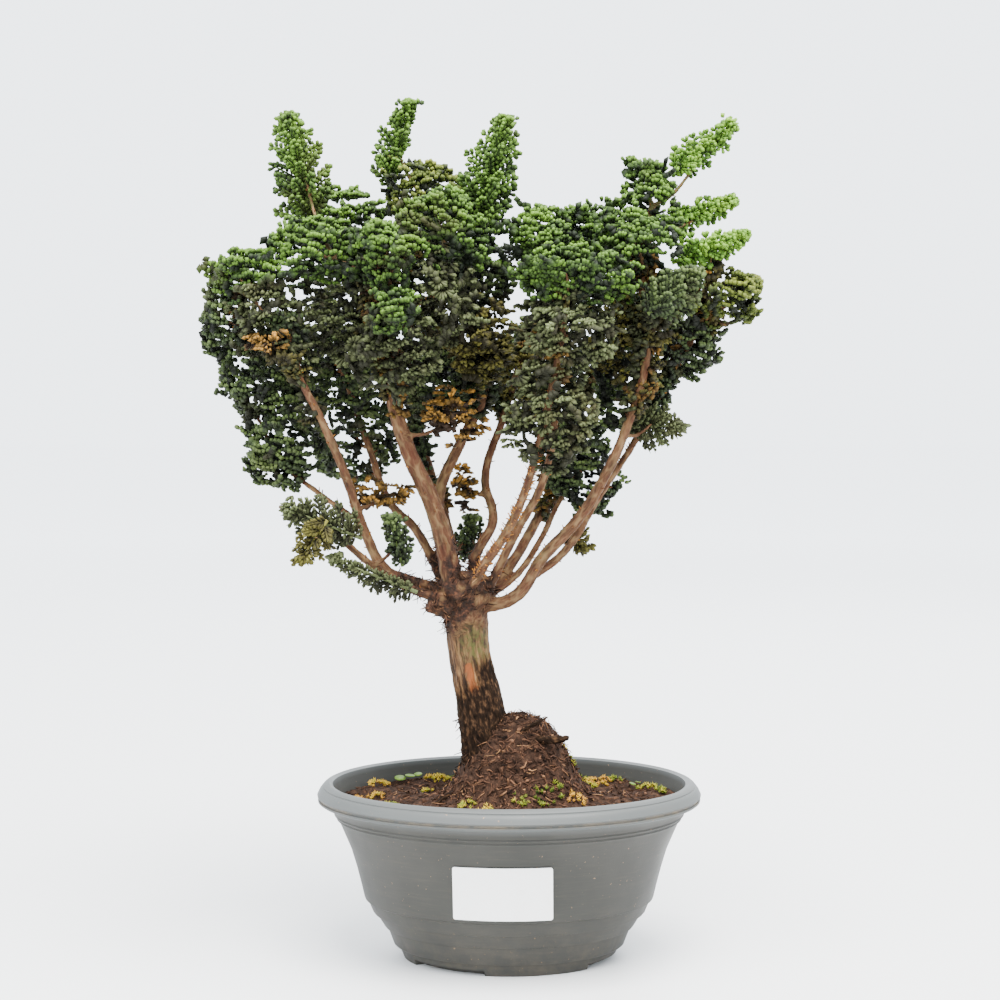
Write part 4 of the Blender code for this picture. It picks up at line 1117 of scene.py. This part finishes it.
bm = toned_mesh()
for number in range(CROTCH_FIBRES + FOOT_FIBRES):
    in_fork = number < CROTCH_FIBRES
    spot, way = draw.choice(crotch_spots if in_fork else foot_spots)
    along = Vector((draw.gauss(0, 1), draw.gauss(0, 1), draw.gauss(-0.3, 1))).normalized()
    along += way * 0.6
    thick = draw.uniform(0.25, 0.55)
    shape = Matrix.Diagonal((draw.uniform(2.0, 5.5), thick, 0.7 * thick, 1.0))
    tone = draw.betavariate(1.8, 2.4) if in_fork else draw.betavariate(1.2, 6.0)
    place_unit(bm, draw.choice(shred_units), placed(spot, facing(along, way), shape), tone)
finished(bm, "caught_litter", litter_finish, "bark", "trunk_and_branches")

# Foliage: scale-leaved branchlets in small cupped fans, each a hand of plump green knobs. The
# fans are packed in lumps that grow together into one crown; the upright shoots are feathered
# with side branchlets; inner and hanging sprays are blunt, duller, and some are dead.
CUSHIONS = {
    "bright": ("crown_left", "crown_front", "crown_middle", "shoulder_left", "front_drop",
               "crown_notch", "crown_right", "front_right", "shoulder_right", "top_right",
               "rear_left", "rear_middle", "rear_right"),
    "tawny": ("dome_middle", "side_right"),
    "deep": ("side_left", "edge_middle", "low_side_left", "low_left", "low_back_left",
             "hollow_left", "middle_low", "under_right", "right_middle", "low_right",
             "rear_side_right", "rear_side_left", "rear_low", "rear_low_right"),
    "grey": ("inner_left", "inner_dark", "inner_middle", "hollow_grey", "hanging_upper",
             "hanging_low"),
    "olive": ("olive_middle", "olive_right", "inner_right"),
    "ochre": ("dead_left", "dead_middle", "dead_low", "dead_high"),
}
SHOOTS = {
    "finger_left": ("bright", (-97, 4, 362), (-110, 10, 419)),
    "finger_middle": ("bright", (-60, 23, 381), (-48, 26, 427)),
    "finger_right": ("bright", (-18, 4, 354), (0, 8, 418)),
    "finger_far": ("lime", (78, 8, 387), (114, 12, 413)),
    "finger_side": ("lime", (76, 12, 363), (115, 14, 375)),
    "finger_low": ("lime", (78, -18, 342), (117, -22, 356)),
    "blue_spray": ("deep", (65, -40, 317), (92, -36, 338)),
    "trailing_left": ("grey", (-70, -38, 211), (-108, -56, 228)),
    "trailing_front": ("olive", (-85, -56, 221), (-98, -64, 200)),
    "trailing_under": ("grey", (-44, -34, 185), (-87, -44, 203)),
    "sprig_front": ("deep", (-51, -30, 197), (-58, -34, 223)),
    "sprig_dark": ("deep", (-25, 38, 194), (-17, 44, 218)),
    "trailing_right": ("grey", (54, -2, 266), (87, -8, 262)),
    "sprig_right": ("olive", (29, 8, 213), (39, 12, 199)),
}
# Colours of the shaded inside, the middle and the growing tips, as a screen shows them
FOLIAGE_COLOURS = {
    "bright": ((10, 16, 5), (39, 57, 17), (80, 110, 33)),
    "lime": ((18, 30, 8), (58, 88, 22), (106, 140, 44)),
    "deep": ((14, 16, 9), (40, 50, 26), (76, 90, 45)),
    "grey": ((24, 24, 12), (51, 55, 31), (84, 92, 58)),
    "olive": ((25, 22, 8), (62, 58, 22), (98, 95, 39)),
    "tawny": ((13, 17, 5), (54, 64, 19), (102, 108, 40)),
    "ochre": ((28, 17, 7), (84, 62, 23), (140, 98, 36)),
}
KNOBBY = ("bright", "lime", "tawny", "deep")   # the others carry the blunt shaded form
SHOOT_HEIGHT_SHADES = ((240.0, 0.34), (340.0, 0.50), (500.0, 0.60))   # low shoots are painted darker as the crown's shade, high ones lighter
KNOB = (3.4, 2.5, 2.2)      # length, width and thickness
COARSE_KNOB = (5.5, 3.9, 2.6)
PAIR_STEP = 2.5             # between the pairs of knobs on a branchlet
FAN_REACH = 6.6
BLUNT_REACH = 6.6
FAN_AREA = 27.0             # of a cushion's surface, for each fan
REAR = 30.0                 # behind this the fans stand further apart
REAR_SPREAD = 1.3
LUMP = 14.0                 # breadth of the lumps in a cushion
LUMP_PROUD = 1.6
LUMP_SUNK = 4.2
RAGGED = 1.4                # how unevenly the sprays stand out
GROW_TOGETHER = 7.0         # breadth of the hollow between two cushions that is filled
GROWN_MOST = 11.0
NEAR = 26.0                 # beyond this a neighbour doesn't change a cushion
BURIED = 6.0                # a spray with another tuft nearer than this in front is hidden
BURIED_KEPT = 0.05          # share of the hidden sprays that are made
LAYERS = ((0.0, 0.0), (4.8, 0.26))   # how deep each layer of sprays sits, and how much darker it is painted as shade
LOOSE_OCHRE = 0.55          # the dead sprays stand further apart
BRANCHLET_STEP = 1.05       # between the side branchlets of a shoot
SHOOT_TIP_FANS = 7
BROWNED = from_screen(66, 50, 24)
GOLDEN = math.pi * (3.0 - math.sqrt(5.0))


def knob(bm, foot, angle, size, rise, blunt=1.22, rings=3, sides=4):
    """One plump branchlet tip, narrow at its foot, lying in the fan's plane."""
    spread = 0.72 if sides == 4 else 0.84
    length, width, thick = size
    tip_layer = bm.verts.layers.float["tip"]
    made = bmesh.ops.create_uvsphere(bm, u_segments=sides, v_segments=rings, radius=0.5)["verts"]
    for vertex in made:
        along = vertex.co.z + 0.5
        bulge = 0.8 if along < 0.49 else blunt
        vertex[tip_layer] = along
        vertex.co = Vector((along * length, (vertex.co.x + vertex.co.y) * spread * width * bulge,
                            (vertex.co.x - vertex.co.y) * spread * thick * bulge + rise * along))
    turn = Matrix.Translation(foot) @ Matrix.Rotation(angle, 4, "Z")
    bmesh.ops.transform(bm, matrix=turn, verts=made)


def fan_unit(seed):
    """A cupped hand of knobs, with its stalk at the origin and its tips towards X."""
    draw = random.Random(seed)
    bm = toned_mesh()
    for number in range(6):
        angle = (number - 2.5) * 0.40 + draw.uniform(-0.10, 0.10)
        start = (FAN_REACH - KNOB[0]) * draw.uniform(0.72, 1.05)
        foot = Vector((math.cos(angle), math.sin(angle), 0.0)) * start
        foot.z = 0.22 * abs(number - 2.5) ** 1.4 + draw.uniform(-0.5, 0.5)
        size = [side * draw.uniform(0.82, 1.14) for side in KNOB]
        knob(bm, foot, angle, size, draw.uniform(0.2, 1.4))
    side = 1 if seed % 2 else -1
    foot = Vector((draw.uniform(0.4, 1.6), side * 0.8, draw.uniform(0.8, 1.7)))
    knob(bm, foot, side * draw.uniform(0.0, 0.4), KNOB, 1.2)
    return shaped_unit(bm)


def plain_unit(seed):
    """A coarser hand of fewer knobs, for the shaded layer inside a cushion."""
    draw = random.Random(seed)
    bm = toned_mesh()
    for number in range(4):
        angle = (number - 1.5) * 0.64 + draw.uniform(-0.10, 0.10)
        foot = Vector((math.cos(angle), math.sin(angle), draw.uniform(-0.3, 0.3))) * 1.2
        knob(bm, foot, angle, COARSE_KNOB, draw.uniform(-0.8, 1.2), 1.1, 2)
    return shaped_unit(bm)


def blunt_unit(seed):
    """A spread hand of blunt round branchlets, the older and shaded form of a spray."""
    draw = random.Random(seed)
    bm = toned_mesh()
    for number in range(7):
        angle = (number - 3) * 0.36 + draw.uniform(-0.12, 0.12)
        foot = Vector((1.2 - 0.1 * abs(number - 3), 0.5 * (number - 3), draw.uniform(-0.7, 0.7)))
        length = (BLUNT_REACH - foot.x) * draw.uniform(0.62, 1.0)
        knob(bm, foot, angle, (length, 1.9, 1.6), draw.uniform(-1.4, 0.8), 1.3, 3, 3)
    return shaped_unit(bm)


def feather_unit(seed, pairs):
    """A straight side branchlet with pairs of knobs at even steps and one at its tip."""
    draw = random.Random(seed)
    bm = toned_mesh()
    knob(bm, Vector((-0.6, 0.0, 0.0)), 0.0, (PAIR_STEP * pairs + 1.5, 1.6, 1.4), 0.0, 1.0)
    for number in range(pairs):
        for side in (-1, 1):
            foot = Vector((PAIR_STEP * (number + 0.25 * side) + 0.6, side * 0.25,
                           draw.uniform(-0.3, 0.3)))
            length = 3.9 * draw.uniform(0.8, 1.15)
            knob(bm, foot, side * draw.uniform(0.6, 0.95), (length, 2.5, 2.1), draw.uniform(-0.4, 1.0))
    knob(bm, Vector((PAIR_STEP * pairs - 0.8, 0.0, 0.0)), draw.uniform(-0.2, 0.2), KNOB, 0.4)
    return shaped_unit(bm)


def fern_unit(seed, pairs):
    """A side branchlet of the shaded form, with blunt leaf-like tips in pairs."""
    draw = random.Random(seed)
    bm = toned_mesh()
    knob(bm, Vector((-0.6, 0.0, 0.0)), 0.0, (PAIR_STEP * pairs + 3.0, 1.5, 1.2), 0.0, 1.0)
    for number in range(pairs):
        for side in (-1, 1):
            foot = Vector((PAIR_STEP * (number + 0.25 * side) + 0.6, 0.0, draw.uniform(-0.2, 0.2)))
            length = (5.4 - 0.5 * number) * draw.uniform(0.8, 1.1)
            knob(bm, foot, side * draw.uniform(0.5, 0.8), (length, 1.7, 1.4), draw.uniform(-0.6, 0.4),
                 1.3, 3, 3)
    return shaped_unit(bm)


def stalk_unit():
    """The green stem of a shoot, one unit long."""
    bm = toned_mesh()
    made = bmesh.ops.create_cone(bm, cap_ends=True, segments=6, radius1=0.95, radius2=0.45, depth=1.0)
    turn = Matrix.Rotation(math.pi / 2, 4, "Y") @ Matrix.Translation((0.0, 0.0, 0.5))
    bmesh.ops.transform(bm, matrix=turn, verts=made["verts"])
    for vertex in made["verts"]:
        vertex[bm.verts.layers.float["tip"]] = 0.8
    return shaped_unit(bm)


def foliage_finish(name, inside, middle, tips):
    """Scale leaves: dark where they are shaded, lighter and yellower to the growing tips."""
    finish = Finish("foliage_" + name, 0.7, 0.14)
    tone = finish.attribute("tone")
    scales = finish.cells(1100.0)
    patches = finish.noise(48.0, 3.0)
    share = finish.maths("ADD", finish.between(finish.attribute("tip"), 0.0, 1.0, 0.02, 0.72),
                         finish.between(tone, 0.0, 1.0, -0.42, 0.42))
    share = finish.maths("ADD", share, finish.between(scales, 0.1, 0.7, 0.08, -0.12))
    share = finish.maths("ADD", share, finish.between(patches, 0.3, 0.7, -0.12, 0.12))
    base = finish.ramp(share, (0.08, inside), (0.50, middle), (1.0, tips))
    browned = finish.between(finish.noise(26.0, 2.0, 0.5), 0.58, 0.72, 0.0, 0.4)
    brown = tuple(0.5 * (a + b) for a, b in zip(middle, BROWNED))
    finish.colour(finish.mix(browned, base, brown))
    finish.bump(scales, 0.35, 0.35)
    return finish.material


def hull_of(node):
    """The hull of a tuft's solid, which bounds its sprays."""
    bm = bmesh.new()
    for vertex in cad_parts[node].data.vertices:
        bm.verts.new(vertex.co / MM)
    bmesh.ops.remove_doubles(bm, verts=bm.verts, dist=0.01)
    hull = bmesh.ops.convex_hull(bm, input=bm.verts)
    bmesh.ops.delete(bm, geom=hull["geom_interior"], context="VERTS")
    bmesh.ops.recalc_face_normals(bm, faces=bm.faces)
    return bm


def reach_along(tree, middle, way):
    hit = tree.ray_cast(middle, way)
    return hit[3] if hit[0] is not None else 0.0


def outside(tree, spot):
    """How far a place lies outside a hull, with the outward direction; less than 0 is inside."""
    nearest, normal, _, away = tree.find_nearest(spot)
    side = 1.0 if (spot - nearest).dot(normal) >= 0.0 else -1.0
    return side * away, normal if away < 0.01 else (spot - nearest).normalized() * side


def grown_surface(own, others, middle, way, reach):
    """Where a ray leaves the cushion, grown together with its neighbours, and the way out."""
    far = reach
    for _ in range(5):
        spot = middle + way * far
        away, out = outside(own, spot)
        fullness = math.exp(-away / GROW_TOGETHER)
        turn, nearest = out * fullness, 99.0
        for other in others:
            other_away, other_out = outside(other, spot)
            weight = math.exp(-max(other_away, -6.0) / GROW_TOGETHER)
            fullness += weight
            turn += other_out * weight
            nearest = min(nearest, other_away)
        gap = GROW_TOGETHER * math.log(fullness)
        if gap < 0.4 or far > reach + GROWN_MOST:
            break
        far += min(gap, 3.0)
    return min(far, reach + GROWN_MOST), turn.normalized(), away <= nearest + 1.0


def lump_at(spot):
    """How proud the lump is here, from 0 in a crease to 1, and the way that its fans lean."""
    distances, places = noise.voronoi(spot / LUMP)
    proud = min(1.0, (distances[1] - distances[0]) / 0.42)
    return proud, noise.cell_vector(places[0] * 7.0)


def sprout(bm, unit, tip_spot, way, top, length, size, tone):
    """Place a spray by where its outermost tip comes."""
    foot = tip_spot - way.normalized() * length * size
    place = placed(foot, facing(way, top), Matrix.Scale(size, 4))
    place_unit(bm, unit, place, clamped(tone))


def spray_at(bm, colour, spot, out, lean, tone, draw, shaded=False):
    """One spray: a fan lies level and cups upwards, a blunt one droops and faces out."""
    jitter = Vector((draw.gauss(0, 0.2), draw.gauss(0, 0.2), draw.gauss(0, 0.18)))
    if colour in KNOBBY:
        unit, length = draw.choice(fans), FAN_REACH
        level = max(0.0, out.z)
        growth = Vector((out.x, out.y, out.z * (0.7 - 0.2 * level) + 0.14)) + lean * 0.35
        growth += Vector((jitter.x, jitter.y, 0.7 * jitter.z)) * (1.0 + level)
        top = Vector((0.0, 0.0, 1.0)) + lean * 0.5 + jitter
    else:
        unit, length = draw.choice(blunts), BLUNT_REACH
        growth = Vector((out.x, out.y, out.z * 0.7 - 0.35)) + lean * 0.5 + jitter * 1.8
        top = out + Vector((0.0, 0.0, 0.8)) + lean * 0.5 + jitter * 2.0
    if shaded:
        unit, top = draw.choice(plains), out + jitter
        growth = Vector((0.0, 0.0, -0.5)) + lean + jitter * 4.0
    size = draw.uniform(0.84, 1.12)
    sprout(bm, unit, spot, growth, top, length, size, tone + draw.gauss(0, 0.13))


def cushion(bm, node, colour, draw):
    """Sprays all over a cushion's lumps, and a layer inside that is painted darker as shade."""
    low, high = (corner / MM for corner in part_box(node))
    middle, half = (low + high) / 2, (high - low) / 2
    own = hulls[node]
    others = [hulls[name] for name in hulls if name != node
              and outside(hulls[name], middle)[0] < NEAR + max(half)]
    a, b, c = (side ** 1.6 for side in half)
    area = 4 * math.pi * ((a * b + a * c + b * c) / 3) ** (1 / 1.6)
    loose = LOOSE_OCHRE if colour == "ochre" else 1.0
    spread = REAR_SPREAD if middle.y > REAR else 1.0
    for sunk, dark in LAYERS:
        count = round(area * loose / (FAN_AREA * spread))
        for number in range(count):
            height = 1.0 - 2.0 * (number + draw.random()) / count
            angle = number * GOLDEN + draw.uniform(-0.25, 0.25)
            flat = math.sqrt(1.0 - height * height)
            way = Vector((math.cos(angle) * flat * half.x, math.sin(angle) * flat * half.y,
                          height * half.z)).normalized()
            reach = reach_along(own, middle, way)
            if reach < 3.0:
                continue
            far, out, mine = grown_surface(own, others, middle, way, reach)
            proud, lean = lump_at(middle + way * far)
            lump = proud * LUMP_PROUD - (1.0 - proud) * LUMP_SUNK
            far += lump + draw.uniform(-1, 1) * RAGGED - sunk
            spot = middle + way * far
            hidden = not mine or crown_tree.ray_cast(spot + out * 2.0, out, BURIED)[0] is not None
            if hidden and draw.random() > BURIED_KEPT:
                continue
            # Painted light and shade: sprays that face up or stand proud on a lump are lighter; sprays
            # in creases, in the inner layer and buried ones are painted darker as shade.
            tone = 0.38 + 0.16 * out.z + 0.28 * proud + 0.10 * lean.x - dark - 0.2 * hidden
            spray_at(bm, colour, spot, out, lean, tone, draw, sunk > 0.0)


def shoot(bm, node, colour, foot, tip, draw):
    """Side branchlets all the way up a shoot, feathered with knobs, and fans at its end."""
    own = hulls[node]
    foot, tip = Vector(foot), Vector(tip)
    along = (tip - foot).normalized()
    # Painted shade: low shoots under the crown start darker, high ones lighter.
    shade = next(tone for height, tone in SHOOT_HEIGHT_SHADES if foot.z < height)
    stretch = Matrix.Diagonal(((tip - foot).length * 0.97, 1.0, 1.0, 1.0))
    place_unit(bm, stalk, placed(foot, facing(along, Vector((0, -1, 0))), stretch), 0.95)
    branchlets = round((tip - foot).length / BRANCHLET_STEP)
    for number in range(branchlets):
        share = (number + 0.5) / branchlets
        middle = foot.lerp(tip, share * 0.94)
        angle = number * GOLDEN + draw.uniform(-0.3, 0.3)
        out = around(along, angle)
        growth = (out + along * draw.uniform(0.45, 0.85)).normalized()
        reach = reach_along(own, middle, growth) * draw.uniform(0.86, 1.04)
        if reach < 2.0:
            continue
        pairs = max(1, min(len(feathers), round((reach - PAIR_STEP) / PAIR_STEP)))
        size = min(1.15, reach / (PAIR_STEP * pairs + 3.2))
        top = Vector((0.0, -1.0, 0.25)) + Vector([draw.gauss(0, 0.35) for _ in range(3)])
        # Painted light: branchlets that face up are lighter.
        tone = shade + 0.24 * share + 0.14 * out.z + draw.gauss(0, 0.1)
        unit = draw.choice((feathers if colour in KNOBBY else ferns)[pairs - 1])
        place_unit(bm, unit, placed(middle, facing(growth, top), Matrix.Scale(size, 4)), clamped(tone))
    end = foot.lerp(tip, 0.82)
    for number in range(SHOOT_TIP_FANS):
        out = around(along, number * GOLDEN)
        way = (along * draw.uniform(1.2, 2.4) + out).normalized()
        spot = end + way * reach_along(own, end, way)
        spray_at(bm, colour, spot, way, along * 0.4, 0.75, draw)


fans = [fan_unit(seed) for seed in range(1, 7)]
blunts = [blunt_unit(seed) for seed in range(11, 17)]
plains = [plain_unit(seed) for seed in range(17, 20)]
feathers = [[feather_unit(21 + seed, pairs) for seed in range(3)] for pairs in range(1, 7)]
ferns = [[fern_unit(31 + seed, pairs) for seed in range(3)] for pairs in range(1, 7)]
stalk = stalk_unit()
foliage_finishes = {
    name: foliage_finish(name, *(from_screen(*colour) for colour in colours))
    for name, colours in FOLIAGE_COLOURS.items()
}
hull_shapes = {name: hull_of(name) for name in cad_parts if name.startswith("foliage_")}
hulls = {name: BVHTree.FromBMesh(shape) for name, shape in hull_shapes.items()}
crown = bmesh.new()
for shape in hull_shapes.values():
    hull_mesh = bpy.data.meshes.new("hull")
    shape.to_mesh(hull_mesh)
    shape.free()
    crown.from_mesh(hull_mesh)
    bpy.data.meshes.remove(hull_mesh)
crown_tree = BVHTree.FromBMesh(crown)
crown.free()
for colour, names in CUSHIONS.items():
    for name in names:
        bm = toned_mesh()
        node = "foliage_" + name
        cushion(bm, node, colour, random.Random(name))
        finished(bm, "sprays_" + name, foliage_finishes[colour], "foliage_" + colour, node)
for name, (colour, foot, tip) in SHOOTS.items():
    bm = toned_mesh()
    node = "foliage_" + name
    shoot(bm, node, colour, foot, tip, random.Random(name))
    finished(bm, "sprays_" + name, foliage_finishes[colour], "foliage_" + colour, node)

# Inner sprays: the small shaded sprays that still grow along the stems and twigs inside the
# crown. They close the gaps between the cushions, and many have turned olive or ochre.
INNER_TRIES = 3600
INNER_REACH = (5.0, 9.5)    # from the middle of the stem to the tips
INNER_PLAIN = 0.6           # share of them that are coarse
INNER_LEVELS = (268.0, 352.0)   # heights between which they grow in front
REAR_INNER = (34.0, 214.0)  # behind this depth they start at this height
INNER_NEAR = 13.0           # they grow no further than this from a cushion
INNER_COLOURS = (           # each colour up to a value that drifts through the crown
    ("ochre", -0.30), ("olive", -0.12), ("grey", 0.22), ("deep", 9.0),
)


def inner_sprays(draw):
    """Sort the sprays along the stems by colour, and place them."""
    meshes = {name: toned_mesh() for name, _ in INNER_COLOURS}
    rows = []
    for row in wood_line:
        lowest = REAR_INNER[1] if row[0].y > REAR_INNER[0] else INNER_LEVELS[0]
        if row[4] == 1.0 and lowest < row[0].z < INNER_LEVELS[1]:
            rows.append(row)
    for _ in range(INNER_TRIES):
        middle, along, *_ = draw.choice(rows)
        out = around(along, draw.uniform(0, math.tau))
        spot = middle + out * draw.uniform(*INNER_REACH)
        nearest, normal, _, away = crown_tree.find_nearest(spot)
        if away > INNER_NEAR or (spot - nearest).dot(normal) < 0.0:
            continue
        drift = noise.noise(spot * 0.03) + draw.gauss(0, 0.06)
        colour = next(name for name, most in INNER_COLOURS if drift < most)
        # Painted shade: the inner sprays start darker than the cushions' sprays, and those that face up
        # are painted lighter.
        tone = 0.30 + 0.2 * out.z
        if draw.random() > INNER_PLAIN:
            spray_at(meshes[colour], colour, spot, out, Vector((0.0, 0.0, 0.0)), tone, draw)
            continue
        growth = out + Vector([draw.gauss(0, 0.3) for _ in range(3)])
        top = Vector([draw.gauss(0, 1) for _ in range(3)])
        sprout(meshes[colour], draw.choice(plains), spot, growth, top, FAN_REACH, 1.0, tone)
    return meshes


for colour, bm in inner_sprays(random.Random(31)).items():
    finished(bm, "sprays_inner_" + colour, foliage_finishes[colour], "foliage_" + colour)
